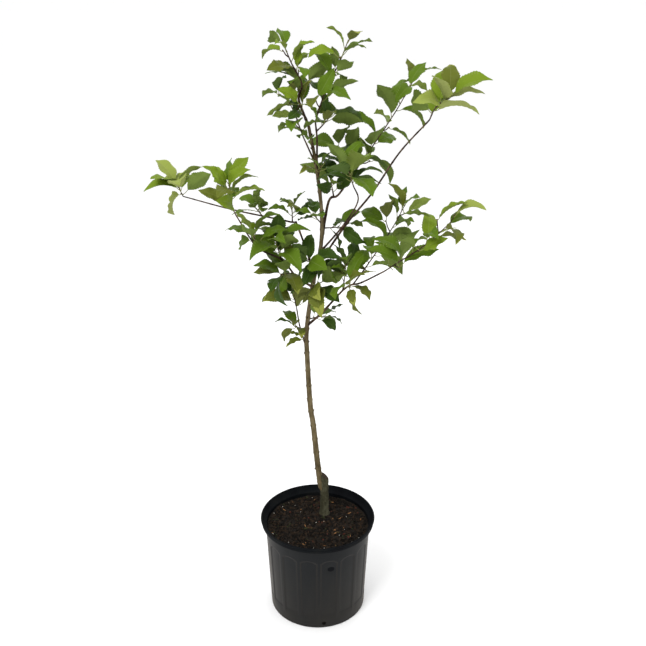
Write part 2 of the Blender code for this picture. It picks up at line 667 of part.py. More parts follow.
def build_trunk(wood, parts):
    """Rootstock and scion grown into one: a flared foot, an aslant cut and the scion beside it."""
    foot = SOIL_LEVEL + GAP
    top = STOCK_RADIUS * (1 - STOCK_TAPER)
    profile = [(0, STOCK_HEIGHT), (top, STOCK_HEIGHT), (STOCK_RADIUS, FLARE_HEIGHT),
               ((FLARE_RADIUS + 2 * STOCK_RADIUS) / 3, FLARE_HEIGHT / 3), (FLARE_RADIUS, 0), (0, 0)]
    profile = [(radius, foot + height) for radius, height in profile]
    stock = screw("rootstock", profile, STOCK_SIDES, parts)
    stock.data.transform(Matrix.Translation((STOCK_PLACE[0] * MM, STOCK_PLACE[1] * MM, 0)))
    shape = bmesh.new()
    shape.from_mesh(stock.data)
    slope = math.radians(CUT_SLOPE)
    away = (math.sin(slope), 0, math.cos(slope))
    across, along = STOCK_PLACE
    edge = Vector((across + STOCK_RADIUS / 2, along, foot + STOCK_HEIGHT - STOCK_RADIUS)) * MM
    everything = shape.verts[:] + shape.edges[:] + shape.faces[:]
    cut = bmesh.ops.bisect_plane(shape, geom=everything, dist=0, plane_co=edge, plane_no=away,
                                 clear_outer=True)
    rim = [item for item in cut["geom_cut"] if isinstance(item, bmesh.types.BMEdge)]
    bmesh.ops.contextual_create(shape, geom=rim)
    bmesh.ops.recalc_face_normals(shape, faces=shape.faces)
    shape.to_mesh(stock.data)
    shape.free()
    scion = tube("scion", wood["trunk"], parts, *TRUNK_TUBE)
    boolean(scion, "UNION", stock)
    bpy.context.view_layer.update()
    trunk = as_mesh(scion, "trunk", parts)
    bpy.data.objects.remove(stock, do_unlink=True)
    return finish_piece(trunk, "bark")


def build_clearances(wood, cutters):
    """A copy of each parent, fatter and longer by GAP, that cuts back the feet of what grows on it."""
    clearances = {}
    for name in sorted({spec.parent for spec in (*BOUGHS.values(), *MASSES.values())}):
        shape = TRUNK_TUBE if name == "trunk" else BOUGH_TUBE
        clearances[name] = tube(f"{name}_clearance", wood[name], cutters, *shape, extra=GAP)
        move_to(clearances[name], cutters)
    return clearances


def cut_to_seat(limb, name, clearance, parts):
    """Cuts a limb's foot back from its parent, and drops what the cut leaves behind the parent."""
    boolean(limb, "DIFFERENCE", clearance)
    bpy.context.view_layer.update()
    piece = as_mesh(limb, name, parts)
    drop_scraps(piece)
    return piece


def build_boughs(wood, parts, clearances):
    for name, spec in BOUGHS.items():
        bough = tube(f"{name}_limb", wood[name], parts, *BOUGH_TUBE)
        finish_piece(cut_to_seat(bough, name, clearances[spec.parent], parts), "bark")


def leaf_object(name, leaf, collection):
    points, faces = leaf_mesh(leaf)
    mesh = bpy.data.meshes.new(name)
    mesh.from_pydata([point * MM for point in points], [], faces)
    blade = bpy.data.objects.new(name, mesh)
    collection.objects.link(blade)
    return blade


def build_mass(name, spec, stem, spurs, leaves, parts, clearances):
    """Stem, spurs and leaves, fused into one solid."""
    pieces = new_collection(f"{name}_pieces")
    trunk = tube(f"{name}_stem", stem, parts, *STEM_TUBE)
    for number, spur in enumerate(spurs):
        tube(f"{name}_spur_{number}", spur, pieces, *STEM_TUBE)
    for number, leaf in enumerate(leaves):
        leaf_object(f"{name}_leaf_{number}", leaf, pieces)
    boolean(trunk, "UNION", pieces)
    mass = cut_to_seat(trunk, name, clearances[spec.parent], parts)
    for piece in list(pieces.objects):
        bpy.data.objects.remove(piece, do_unlink=True)
    bpy.data.collections.remove(pieces)
    return finish_piece(mass, "leaf", LEAF_SMOOTH_ANGLE)


def main():
    clear_scene()
    parts = new_collection("potted_apple_tree")
    cutters = new_collection("cutters")
    wood = grow_wood()
    crown = grow_crown(wood)
    clearances = build_clearances(wood, cutters)
    build_pot(parts, cutters)
    build_soil(parts)
    build_trunk(wood, parts)
    build_boughs(wood, parts, clearances)
    for name, spec in MASSES.items():
        build_mass(name, spec, wood[name], *crown[name], parts, clearances)


main()
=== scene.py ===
"""The looks of a grafted apple tree about 1.4 m tall, standing in a black nursery pot.

Lengths are millimetres and angles are degrees; MM turns millimetres into metres.
The limbs and shoots grow by the rule, the sizes and the seed of the solids that they replace.
"""

import json
import random
from collections import namedtuple
from math import cos, exp, hypot, pi, radians, sin, sqrt, tan

import bpy
import numpy as np
from mathutils import Matrix, Vector, noise
from mathutils.bvhtree import BVHTree
from mathutils.kdtree import KDTree

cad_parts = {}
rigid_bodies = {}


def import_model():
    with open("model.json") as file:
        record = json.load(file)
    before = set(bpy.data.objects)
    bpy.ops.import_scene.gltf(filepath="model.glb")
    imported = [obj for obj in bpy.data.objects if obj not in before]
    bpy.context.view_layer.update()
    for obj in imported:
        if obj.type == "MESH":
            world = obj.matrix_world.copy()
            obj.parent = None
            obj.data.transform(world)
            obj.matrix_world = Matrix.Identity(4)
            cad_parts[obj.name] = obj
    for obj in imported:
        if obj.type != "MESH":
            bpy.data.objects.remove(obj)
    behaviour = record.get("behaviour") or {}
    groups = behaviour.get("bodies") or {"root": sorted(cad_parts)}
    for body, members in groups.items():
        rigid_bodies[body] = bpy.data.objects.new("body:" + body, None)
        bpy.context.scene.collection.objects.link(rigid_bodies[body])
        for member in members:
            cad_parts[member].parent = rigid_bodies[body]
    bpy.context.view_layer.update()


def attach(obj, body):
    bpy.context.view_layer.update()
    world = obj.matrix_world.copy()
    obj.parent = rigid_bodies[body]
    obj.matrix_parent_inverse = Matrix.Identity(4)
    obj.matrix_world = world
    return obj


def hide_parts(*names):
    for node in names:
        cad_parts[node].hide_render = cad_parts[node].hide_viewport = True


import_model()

MM = 0.001
UP = Vector((0, 0, 1))
GAP = 0.3  # left between neighbouring pieces

# The pot
POT_HEIGHT = 246
RIM_RADIUS = 140
WALL_TOP_RADIUS = 128.5  # of the wall, just below the rim
BASE_RADIUS = 117.5
WALL = 2.4
FLOOR = 3
LIP_DROP = 14  # from the top of the rim to the underside of its lip
PANELS = 16
PANEL_DEPTH = 1.2
PANEL_EDGE = 0.87  # share of half a panel, beyond which the wall is a rib
PANEL_FOOT = 24  # height where the panels begin
PANEL_TOP = 202  # height of the crown of each arch
PANEL_FADES = (14, 2.5)  # over these heights a panel deepens, from its foot and from its arch
ARCH_RISE = 16
FIRST_RIB_BEARING = 271.6
DRAIN_HOLES = 4
DRAIN_BEARING = 277.6
DRAIN_RADIUS = 5.5
DRAIN_HEIGHT = 13
DRILL_LENGTH = 16

# The rolled rim, from its top down to its lip, each point (outwards, upwards) from its outer top edge
RIM_STEPS = ((-3.5, 0), (-0.8, -0.6), (0, -2.2), (-0.8, -4.5), (-2.6, -5.3), (-1.6, -6.7),
             (-2.4, -12.8), (-5, -14))
NECK = 3  # the wall meets the rim this far below the lip
THROAT = (-6.5, -10)  # inside the rim, from the same edge
CORNER = 3  # where the wall turns into the floor
FOOT_CHAMFER = 1.2
DENT_BEARING, DENT_WIDTH = 285, 16
DENT_HEIGHT, DENT_RISE = 175, 12
DENT_DEPTH = 1.6

# The bark mix that fills it
SOIL_LEVEL = 221
SOIL_CLEARANCE = 0.5  # sideways, to the inside of the pot
SOIL_RINGS, SOIL_COLUMNS = 60, 160
SOIL_CORNER = 4  # height of the slope from its side to the middle of its underside

# The rootstock, cut off aslant above the graft
STOCK_PLACE = (16.6, 45)
STOCK_RADIUS = 10.6
STOCK_HEIGHT = 114
STOCK_TAPER = 0.03
FLARE_RADIUS = 13.5
FLARE_HEIGHT = 16
CUT_SLOPE = 42

# The scion: the trunk proper, from the bud union inside the rootstock to the fork below the leader
UNION_PLACE = (15, 45, 292)
TRUNK_LEGS = ((14, 180, 60), (51, 188, 82), (122, 200, 84.3), (54, 196, 82.4), (134, 220, 86.4),
              (64, 264, 87), (110, 337, 82), (92, 340, 78), (82, 296, 87), (98, 204, 83), (86, 201, 79))
TRUNK_FOOT_RADIUS = 7.4
TRUNK_TIP_RADIUS = 3.2
THICKEST_TRUNK = 8.6

# A bough leaves the trunk at a distance along it.
# Its legs are (length, bearing, climb), and a smooth curve runs through their ends.
Limb = namedtuple("Limb", "along legs foot tip")
BOUGHS = {
    "bough_upright": Limb(650, ((70, 40, 78), (31, 40, 68), (19, 23, 16), (52, 31, 48)), 3.9, 1.7),
    "bough_middle_right": Limb(630, ((99, 316, 47), (68, 327, 58), (35, 182, 73)), 2.4, 1.3),
    "bough_long_right": Limb(
        595, ((125, 333, 56), (100, 328, 51), (105, 328, 56), (94, 328, 48)), 2.6, 1.5),
    "bough_long_left": Limb(575, ((115, 152, 68), (19, 159, 24), (135, 165, 8), (120, 165, 11)), 2.5, 1.3),
    "bough_low_left": Limb(
        545, ((56, 213, 39), (52, 207, 52), (64, 203, 32), (78, 208, 58), (27, 213, 63)), 2.5, 1.3),
    "bough_short_left": Limb(390, ((52, 133, 64), (44, 119, 69)), 2.2, 1.4),
    "bough_low_right": Limb(450, ((56, 326, 44), (94, 328, 49), (39, 338, 25), (60, 337, 32)), 2.9, 1.6),
    "bough_top_right": Limb(815, ((66, 273, 76), (39, 242, 80)), 2.4, 1.7),
    "bough_top_left": Limb(825, ((70, 214, 63),), 2.0, 1.4),
}

# A mass is a leafy shoot: a stem, its leaves, and every few leaves a spur with a rosette.
# Its stem leaves its parent like a bough, or goes on from the parent's tip where along is None.
# bare is the share of the stem below the first leaf, and blade the length of a full-grown leaf.
Mass = namedtuple("Mass", "parent along legs foot bare leaves spur_every blade")
MASSES = {
    "leaves_leader": Mass(
        "trunk", None, ((60, 208, 68), (31, 323, 74), (48, 198, 63), (44, 208, 66)),
        3.1, 0.08, 17, 4, 64),
    "leaves_top_right": Mass(
        "bough_top_right", None, ((42, 334, 71), (48, 341, 66), (39, 344, 62), (44, 338, 67)),
        1.6, 0.06, 13, 4, 66),
    "leaves_top_inner": Mass("bough_top_right", 85, ((20, 34, 36), (26, 30, 42)), 1.5, 0.3, 7, 0, 72),
    "leaves_top_left": Mass("bough_top_left", None, ((60, 218, 66), (34, 210, 58)), 1.4, 0.05, 10, 4, 56),
    "leaves_trunk_top": Mass("trunk", 855, ((34, 245, 65),), 1.4, 0.3, 6, 0, 66),
    "leaves_trunk_high": Mass("trunk", 800, ((28, 298, 58),), 1.4, 0.4, 5, 0, 56),
    "leaves_trunk_middle": Mass("trunk", 695, ((35, 216, 47),), 1.4, 0.4, 5, 0, 56),
    "leaves_upright_left": Mass("bough_upright", 148, ((33, 15, 84), (44, 73, 82)), 1.6, 0.12, 12, 4, 82),
    "leaves_upright_inner": Mass("bough_upright", 110, ((40, 251, 62),), 1.5, 0.3, 8, 0, 72),
    "leaves_upright_top": Mass(
        "bough_upright", None, ((72, 26, 50), (94, 28, 51), (62, 32, 54), (34, 33, 52)),
        1.6, 0.02, 15, 5, 78),
    "leaves_long_right": Mass(
        "bough_long_right", None, ((27, 323, 62), (40, 330, 38)), 1.4, 0.05, 10, 0, 94),
    "leaves_middle_right": Mass("bough_middle_right", None, ((36, 210, 70),), 1.2, 0.1, 9, 0, 90),
    "leaves_fork": Mass("bough_upright", 35, ((44, 340, 8),), 1.4, 0.3, 7, 0, 66),
    "leaves_left_bend": Mass("bough_long_left", 135, ((33, 265, 84),), 1.4, 0.25, 6, 0, 54),
    "leaves_left_middle": Mass("bough_long_left", 205, ((30, 220, 50),), 1.3, 0.25, 7, 0, 62),
    "leaves_left_tip": Mass("bough_long_left", None, ((34, 135, 50),), 1.2, 0.05, 10, 0, 78),
    "leaves_low_left_tip": Mass(
        "bough_low_left", None, ((30, 229, 80), (30, 237, 82)), 1.2, 0.05, 12, 0, 72),
    "leaves_low_left_side": Mass("bough_low_left", 175, ((32, 130, 62),), 1.4, 0.2, 8, 0, 76),
    "leaves_low_left_top": Mass("bough_low_left", 110, ((48, 205, 74),), 1.5, 0.12, 12, 0, 82),
    "leaves_low_left_under": Mass("bough_low_left", 65, ((31, 214, 2),), 1.5, 0.25, 8, 0, 76),
    "leaves_short_left_tip": Mass(
        "bough_short_left", None, ((24, 145, 75), (20, 144, 75)), 1.3, 0.08, 10, 0, 78),
    "leaves_short_left_side": Mass("bough_short_left", 50, ((19, 224, 29),), 1.4, 0.4, 5, 0, 62),
    "leaves_trunk_low": Mass("trunk", 400, ((29, 231, 60),), 1.4, 0.4, 5, 0, 42),
    "leaves_trunk_right": Mass("trunk", 465, ((24, 15, 9), (20, 15, -3)), 1.5, 0.25, 7, 0, 54),
    "leaves_trunk_left": Mass("trunk", 600, ((40, 235, 30),), 1.4, 0.3, 7, 0, 78),
    "leaves_trunk_front": Mass("trunk", 545, ((56, 290, 28),), 1.6, 0.3, 10, 0, 88),
    "leaves_low_right_under": Mass("bough_low_right", 160, ((44, 270, 15),), 1.4, 0.2, 6, 0, 70),
    "leaves_right_centre": Mass("bough_low_right", 140, ((62, 60, 76),), 1.5, 0.2, 10, 0, 72),
    "leaves_low_right_tip": Mass(
        "bough_low_right", None, ((40, 333, 38), (68, 335, 38), (72, 336, 46), (24, 335, 60)),
        1.5, 0.05, 16, 5, 74),
    "leaves_right": Mass(
        "bough_low_right", 170, ((62, 35, 44), (86, 32, 49), (60, 25, 58)), 1.6, 0.2, 16, 4, 72),
}
SHOOT_TIP_RADIUS = 0.9

# How the limbs and shoots grow
PATH_STEP = 5  # between the points of a limb's curve
COLLAR = 0.35  # a limb's foot is thicker by this share
COLLAR_LIMIT = 0.95  # but no thicker than this share of its parent
COLLAR_LENGTH = 12
CROWN_SEED = 157
SPACE = 125  # how far from its stem a mass may reach
LAST_LEAF = 0.985  # share of the stem below the topmost leaf
SPUR_LENGTHS = (12, 30)
SPUR_LEAVES = 3
SPUR_RADIUS = 1.2
SPUR_YOUTH = 0.35
SPUR_LEAN = 0.6  # how far it leans along its stem
SPUR_RISE = 0.5
SPUR_TAPER = 0.2
SPUR_ROOM = 14  # within which a limb's thickness matters to a spur
THICKEST_LIMB = 12

# How a leaf grows. Youth runs from 0 at a shoot's foot to 1 at its tip, and the youngest leaves lose
# these shares of their petiole, droop and length.
FIRST_LEAF = 0.6  # where the first leaf sits, in steps from the stem's bare part
GOLDEN_ANGLE = 137.5
TURN_WANDER = 28
YOUTH_POWER = 2  # how late on a shoot youth sets in
SPREADS = (74, 28)  # between stem and petiole, on the oldest leaf and on the youngest
SPREAD_WANDER = 14
LIFT = 0.25  # how far petioles turn up to the light
PETIOLES = (10, 20)
PETIOLE_RADIUS = 0.7
DROOPS = (-0.3, 0.6)  # how far a blade leans down or up from its petiole's way
LENGTHS = (0.76, 1.14)  # shares of the mass's blade
WIDTHS = (0.42, 0.58)  # shares of the leaf's own length
ARCHES = (30, 105)  # how far a blade bends down from its foot to its tip
KEELS = (8, 24)  # how far each half is folded up
ROLL = 40  # about the midrib, as a standard deviation
LEAN_OUT = 0.3  # how far faces turn away from the stem
YOUNG_PETIOLE, YOUNG_DROOP, YOUNG_LENGTH = 0.4, 0.4, 0.2
BLADE_SKEW = 0.8  # under 1, which puts the widest place nearer the foot
BLADE_FULLNESS = 0.9  # under 1, which rounds the blade's shoulders
LEAF_THICKNESS = 1.2
LEAF_STATIONS = (0.3, 0.72)  # where the solid blade has its cross-sections
LEAF_CLEARANCE = 0.8  # to any other leaf or limb
TRIES = 14  # draws before a leaf is left out
PETIOLE_FACES = 7  # of a leaf solid

# The camera, where the photograph was taken from, in metres
CAMERA_PLACE = (0.0131, -1.774, 1.459)
CAMERA_TURN = 68.35
CAMERA_LENS = 47.37
CAMERA_SENSOR = 36

# The lights: place, size and power of each, in metres and watts, all aimed at one place
LIGHTS = {
    "key": ((-1.2, -2.0, 3.4), 1.2, 64),
    "fill": ((2.6, -1.8, 1.8), 2.2, 10),
    "rim": ((0.6, 2.8, 2.6), 2.0, 20),
}
LIT_PLACE = (0, 0, 0.7)

# Fine surfaces
RIB_EDGE = 0.9  # share of half a panel where a rib's flat top ends
PANEL_PLACES = (-0.72, -0.56, -0.38, -0.19, 0, 0.19, 0.38, 0.56, 0.72)
ARCH_STEP = 1  # between the pot's rows, where the arches are
WALL_STEP = 6  # and elsewhere
PALE_STEP = 0.3  # a step in the wall as deep as this, between two points, is coloured paler
LIMB_STEP = 2  # between the rings of a limb
TRUNK_SIDES = 22
BOUGH_SIDES = 14
STEM_SIDES = 9
PETIOLE_SIDES = 6
PETIOLE_SAG = 1.2
NODE_EVERY = 38  # between the swellings where leaves once stood
NODE_SWELL = 0.16
BARK_RELIEF = 0.07  # share of the radius
BARK_FINENESS = 0.16
TRUNK_SEED, BOUGH_SEED, SHOOT_SEED, LEAF_SEED, CHIP_SEED = 11, 12, 13, 21, 31

# Leaves
LEAF_ROWS = 30  # two to a tooth
LEAF_COLUMNS = (-1, -0.62, -0.28, -0.05, 0.05, 0.28, 0.62, 1)
TOOTH = 0.07  # depth of a tooth, as a share of the half width
TIP_FROM, TIP_DRAW = 0.78, 0.25  # beyond this share of its length a blade narrows by up to this share
EDGE_WANDER = 0.1  # share by which either margin runs in and out
TWIST = 24  # between a blade's foot and its tip, as a standard deviation
BLADE_THICKNESS = 0.45
VEINS = 8
VEIN_RELIEF = 0.35
MARGIN_WAVE = 2.2
MIDRIB = 0.5

# Top and underside of the leaves, dealt out by spray
LEAF_GREENS = {
    "deep": ((0.034, 0.068, 0.008), (0.078, 0.122, 0.03)),
    "mid": ((0.082, 0.142, 0.009), (0.132, 0.184, 0.04)),
    "bright": ((0.14, 0.208, 0.013), (0.18, 0.235, 0.048)),
    "pale": ((0.24, 0.29, 0.058), (0.27, 0.305, 0.095)),
    "olive": ((0.1, 0.12, 0.015), (0.142, 0.16, 0.04)),
}
# The greens from deep to pale paint shade and light: leaves deep inside the crown get darker greens, those
# reaching out and up paler ones, with a random spread; olive is dealt at random.
LIGHT_REACH = 300  # a leaf this far out from the trunk stands in the light
LIGHT_HEIGHTS = (950, 1750)
TONE_SPREAD = 0.28
TONES = ((0.25, "deep"), (1.0, "mid"), (1.45, "bright"), (99, "pale"))
OLIVE_SHARE, LOW_OLIVE_SHARE, LOW_CROWN = 0.08, 0.3, 900
TURNED, TURNED_EDGE = (0.65, 1.3), 0.12

CHIPS = 2600
CHIP_KINDS = {
    "dark": ((0.007, 0.006, 0.005), 0.6),
    "brown": ((0.026, 0.017, 0.011), 0.335),
    "red": ((0.07, 0.022, 0.015), 0.012),
    "tan": ((0.21, 0.105, 0.045), 0.008),
    "moss": ((0.028, 0.032, 0.015), 0.035),
    "white": ((0.42, 0.4, 0.36), 0.01),
}
SLIVERS = 220  # long thin pieces of bark among the chips
LUMPS = ((2.2, 0.035, 0), (1.8, 0.16, 40))  # height, fineness and layer of the mix's noises

# The tones of each blotchy surface, from its darkest
BLOTCHES = {
    "trunk_bark": ((0.04, 0.029, 0.012), (0.105, 0.08, 0.04), (0.185, 0.15, 0.085)),
    "cut_wood": ((0.01, 0.007, 0.004), (0.024, 0.017, 0.01), (0.06, 0.042, 0.024)),
    "rootstock_bark": ((0.014, 0.014, 0.007), (0.04, 0.038, 0.021), (0.11, 0.108, 0.068)),
    "bough_bark": ((0.012, 0.007, 0.005), (0.04, 0.023, 0.014), (0.15, 0.095, 0.055)),
    "shoot_bark": ((0.014, 0.007, 0.005), (0.045, 0.024, 0.014), (0.115, 0.085, 0.04)),
    "bud_scales": ((0.04, 0.018, 0.012), (0.09, 0.045, 0.028), (0.15, 0.1, 0.07)),
    # painted shade: a darker, less glossy copy of the pot's plastic for its rim and its inside
    "shaded_rim_plastic": ((0.002, 0.002, 0.003), (0.004, 0.005, 0.006), (0.01, 0.01, 0.009)),
    "bark_mix": ((0.004, 0.003, 0.003), (0.009, 0.007, 0.005), (0.024, 0.017, 0.012)),
}

Wood = namedtuple("Wood", "points radii")
Leaf = namedtuple("Leaf", "root stalk petiole start forward side up length width arch keel")
Standing = namedtuple("Standing", "centre reach tree owner")


def heading(bearing, climb):
    """Unit vector of a direction given in degrees."""
    b, c = radians(bearing), radians(climb)
    return Vector((cos(c) * cos(b), cos(c) * sin(b), sin(c)))


def beside(along, turn):
    """Unit vector square to a way, turned about it by degrees."""
    return Matrix.Rotation(radians(turn), 3, along) @ along.orthogonal().normalized()


def curve_through(start, legs):
    """Points about PATH_STEP apart on a smooth curve through the ends of the legs."""
    corners = [Vector(start)]
    for length, bearing, climb in legs:
        corners.append(corners[-1] + heading(bearing, climb) * length)
    chain = [corners[0] * 2 - corners[1], *corners, corners[-1] * 2 - corners[-2]]
    points = []
    for p0, p1, p2, p3 in zip(chain, chain[1:], chain[2:], chain[3:]):
        count = max(2, round((p2 - p1).length / PATH_STEP))
        for number in range(count):
            t = number / count
            points.append(0.5 * (2 * p1 + (p2 - p0) * t + (2 * p0 - 5 * p1 + 4 * p2 - p3) * t * t
                                 + (3 * p1 - p0 - 3 * p2 + p3) * t ** 3))
    return points + [corners[-1]]


def place_on(points, distance):
    """The point at a distance along a curve, and the curve's direction there."""
    walked = 0
    for a, b in zip(points, points[1:]):
        step = (b - a).length
        if walked + step >= distance:
            return a.lerp(b, (distance - walked) / step), (b - a).normalized()
        walked += step
    return points[-1].copy(), (points[-1] - points[-2]).normalized()


def curve_length(points):
    return sum((b - a).length for a, b in zip(points, points[1:]))


def radius_on(limb, distance):
    """A limb's radius at a distance along it."""
    return limb.radii[min(round(distance / PATH_STEP), len(limb.radii) - 1)]


def taper(points, foot, tip, collar):
    """Radius at each point: an even taper, and at the foot a collar that is thicker by a share."""
    length = curve_length(points)
    radii, walked = [], 0
    for number, point in enumerate(points):
        if number:
            walked += (point - points[number - 1]).length
        share = walked / length
        radii.append((foot + (tip - foot) * share) * (1 + collar * exp(-walked / COLLAR_LENGTH)))
    return Wood(points, radii)


def grow_limb(spec, parent, tip):
    """A limb from a place on its parent's axis, with a collar, or on from its parent's tip."""
    if spec.along is None:
        points = curve_through(parent.points[-1], spec.legs)
        steps = len(points) - 1
        return Wood(points, [spec.foot + (tip - spec.foot) * n / steps for n in range(steps + 1)])
    start, _ = place_on(parent.points, spec.along)
    collar = min(COLLAR, COLLAR_LIMIT * radius_on(parent, spec.along) / spec.foot - 1)
    return taper(curve_through(start, spec.legs), spec.foot, tip, collar)


def grow_wood():
    """Every limb's curve and radii, from the trunk out to the stems of the masses."""
    trunk = curve_through(UNION_PLACE, TRUNK_LEGS)
    wood = {"trunk": taper(trunk, TRUNK_FOOT_RADIUS, TRUNK_TIP_RADIUS, COLLAR)}
    for name, spec in BOUGHS.items():
        wood[name] = grow_limb(spec, wood["trunk"], spec.tip)
    for name, spec in MASSES.items():
        wood[name] = grow_limb(spec, wood[spec.parent], SHOOT_TIP_RADIUS)
    return wood


def make_leaf(dice, seat, blade):
    """One leaf; its seat is a root, the way of the axis it sits on, its turn about that and its youth."""
    root, along, turn, youth = seat
    outward = beside(along, turn + dice.uniform(-TURN_WANDER, TURN_WANDER))
    oldest, youngest = SPREADS
    wander = dice.uniform(-SPREAD_WANDER, SPREAD_WANDER)
    spread = radians(oldest + (youngest - oldest) * youth + wander)
    stalk = (along * cos(spread) + outward * sin(spread) + UP * LIFT).normalized()
    petiole = dice.uniform(*PETIOLES) * (1 - YOUNG_PETIOLE * youth)
    droop = dice.uniform(*DROOPS) * (1 - YOUNG_DROOP * youth)
    forward = (stalk + UP * droop).normalized()
    face = UP - outward * LEAN_OUT
    face = (face - forward * face.dot(forward)).normalized()
    up = Matrix.Rotation(radians(dice.gauss(0, ROLL)), 3, forward) @ face
    length = blade * dice.uniform(*LENGTHS) * (1 - YOUNG_LENGTH * youth)
    width = length * dice.uniform(*WIDTHS)
    arch = radians(dice.uniform(*ARCHES))
    keel = radians(dice.uniform(*KEELS))
    start = root + stalk * petiole
    return Leaf(root, stalk, petiole, start, forward, forward.cross(up), up, length, width, arch, keel)


def blade_place(leaf, share):
    """Centre of the blade at a share of its length, on a downward arc, and its upward normal there."""
    bend = leaf.arch * share
    radius = leaf.length / leaf.arch
    sine, cosine = sin(bend), cos(bend)
    centre = leaf.start + leaf.forward * (radius * sine) - leaf.up * (radius * (1 - cosine))
    return centre, leaf.up * cosine + leaf.forward * sine


def half_width(leaf, share):
    """Half the blade's width: egg-shaped, widest below the middle."""
    return 0.5 * leaf.width * sin(pi * share ** BLADE_SKEW) ** BLADE_FULLNESS


def leaf_mesh(leaf, swell=0):
    """Vertices and triangles of a leaf solid: three-sided petiole, keeled blade and pointed tip.

    The petiole's faces come first. Each ring runs left, below, right and, on the blade, above."""
    rise = leaf.side.cross(leaf.stalk).normalized()
    radius = PETIOLE_RADIUS + swell
    points = []
    for centre, up in ((leaf.root, rise), (leaf.start, leaf.up)):
        points += [centre - leaf.side * radius, centre - up * radius, centre + leaf.side * radius]
    for share in LEAF_STATIONS:
        centre, up = blade_place(leaf, share)
        half, thick = half_width(leaf, share), LEAF_THICKNESS / 2 + swell
        edge, raised = leaf.side * (half * cos(leaf.keel) + swell), up * (half * sin(leaf.keel))
        points += [centre - edge + raised, centre - up * thick, centre + edge + raised, centre + up * thick]
    points.append(blade_place(leaf, 1 + swell / leaf.length)[0])
    faces = [(0, 1, 2)] + skin((0, 1, 2), (3, 4, 5))
    faces += skin((3, 4, 5), (6, 7, 8), closed=False) + [(3, 5, 9), (3, 9, 6), (5, 8, 9)]
    faces += skin((6, 7, 8, 9), (10, 11, 12, 13))
    faces += [(b, a, 14) for a, b in ((10, 11), (11, 12), (12, 13), (13, 10))]
    return points, faces


def skin(low, high, closed=True):
    """Triangles between two rings of vertices, each turned the way that makes them face out."""
    faces = []
    for n in range(len(low) if closed else len(low) - 1):
        m = (n + 1) % len(low)
        faces += [(low[m], low[n], high[n]), (low[m], high[n], high[m])]
    return faces


class Space:
    """What already stands in the crown, and whether something new keeps clear of it."""

    def __init__(self, wood):
        self.leaves = []
        self.samples = []
        for name, limb in wood.items():
            self.add_wood(name, limb)
        self.index()

    def add_wood(self, name, limb):
        """Samples a limb at the points of its curve and halfway between them."""
        points, radii = limb.points, limb.radii
        halfway = [low.lerp(high, 0.5) for low, high in zip(points, points[1:])]
        self.samples += [(point, radius, name) for point, radius in zip(points + halfway, radii + radii)]

    def index(self):
        self.tree = KDTree(len(self.samples))
        for number, (point, _, _) in enumerate(self.samples):
            self.tree.insert(point, number)
        self.tree.balance()

    def takes_leaf(self, leaf, owner, axis):
        """Keeps the leaf, and says so, if it touches nothing and stays in its mass's space."""
        points, faces = leaf_mesh(leaf, LEAF_CLEARANCE)
        if min((points[-1] - point).length for point in axis.points) > SPACE:
            return False
        centre = (leaf.root + points[-1]) / 2
        reach = max((point - centre).length for point in points)
        whole = BVHTree.FromPolygons(points, faces)
        blade = BVHTree.FromPolygons(points, faces[PETIOLE_FACES:])
        for place, number, _ in self.tree.find_range(centre, reach + THICKEST_LIMB):
            _, radius, name = self.samples[number]
            near = (blade if name == owner else whole).find_nearest(place, radius + LEAF_CLEARANCE)
            if near[0] is not None:
                return False
        for other in self.leaves:
            if (other.centre - centre).length < reach + other.reach and whole.overlap(other.tree):
                return False
        self.leaves.append(Standing(centre, reach, whole, owner))
        return True

    def takes_spur(self, spur, owner):
        """Keeps the spur, and says so, if it keeps clear of the leaves and limbs of other masses."""
        for point, radius in zip(spur.points[1:], spur.radii[1:]):
            for other in self.leaves:
                near = other.tree.find_nearest(point, radius + LEAF_CLEARANCE)
                if other.owner != owner and near[0] is not None:
                    return False
            for place, number, away in self.tree.find_range(point, SPUR_ROOM):
                _, thick, name = self.samples[number]
                if name != owner and away < thick + radius + LEAF_CLEARANCE:
                    return False
        self.add_wood(owner, spur)
        self.index()
        return True


def grow_spur(dice, root, along, turn):
    """A short woody side shoot that bends upwards, with its curve's last direction."""
    way = (along * SPUR_LEAN + beside(along, turn)).normalized()
    bent = (way + UP * SPUR_RISE).normalized()
    reach = dice.uniform(*SPUR_LENGTHS)
    knee = root + way * reach / 2
    tip = knee + bent * reach / 2
    points = [root, root.lerp(knee, 0.5), knee, knee.lerp(tip, 0.5), tip]
    steps = len(points) - 1
    return Wood(points, [SPUR_RADIUS * (1 - SPUR_TAPER * n / steps) for n in range(steps + 1)]), bent


def grow_mass(name, spec, stem, space):
    """The spurs and leaves of one mass, by a seeded rule."""
    length = curve_length(stem.points)
    spurs, leaves = [], []
    turn = random.Random(f"{name} {CROWN_SEED}").uniform(0, 360)
    for number in range(spec.leaves):
        dice = random.Random(f"{name} {CROWN_SEED} {number}")
        turn += GOLDEN_ANGLE
        share = spec.bare + (1 - spec.bare) * (number + FIRST_LEAF) / spec.leaves
        root, along = place_on(stem.points, length * min(share, LAST_LEAF))
        seats = [(root, along, turn, share ** YOUTH_POWER)]
        if spec.spur_every and number % spec.spur_every == 1:
            spur, bent = grow_spur(dice, root, along, turn)
            if space.takes_spur(spur, name):
                spurs.append(spur)
                seats = [(spur.points[-1] - bent, bent, turn + GOLDEN_ANGLE * n, SPUR_YOUTH)
                         for n in range(SPUR_LEAVES)]
        for seat in seats:
            for _ in range(TRIES):
                leaf = make_leaf(dice, seat, spec.blade)
                if space.takes_leaf(leaf, name, stem):
                    leaves.append(leaf)
                    break
    return spurs, leaves


def grow_crown(wood):
    """Spurs and leaves of every mass, each keeping clear of those before it."""
    space = Space(wood)
    return {name: grow_mass(name, spec, wood[name], space) for name, spec in MASSES.items()}


def wall_radius(height):
    """Outer radius of the pot's wall, which tapers evenly to its base."""
    lip = POT_HEIGHT - LIP_DROP
    return BASE_RADIUS + (WALL_TOP_RADIUS - BASE_RADIUS) * min(height, lip) / lip


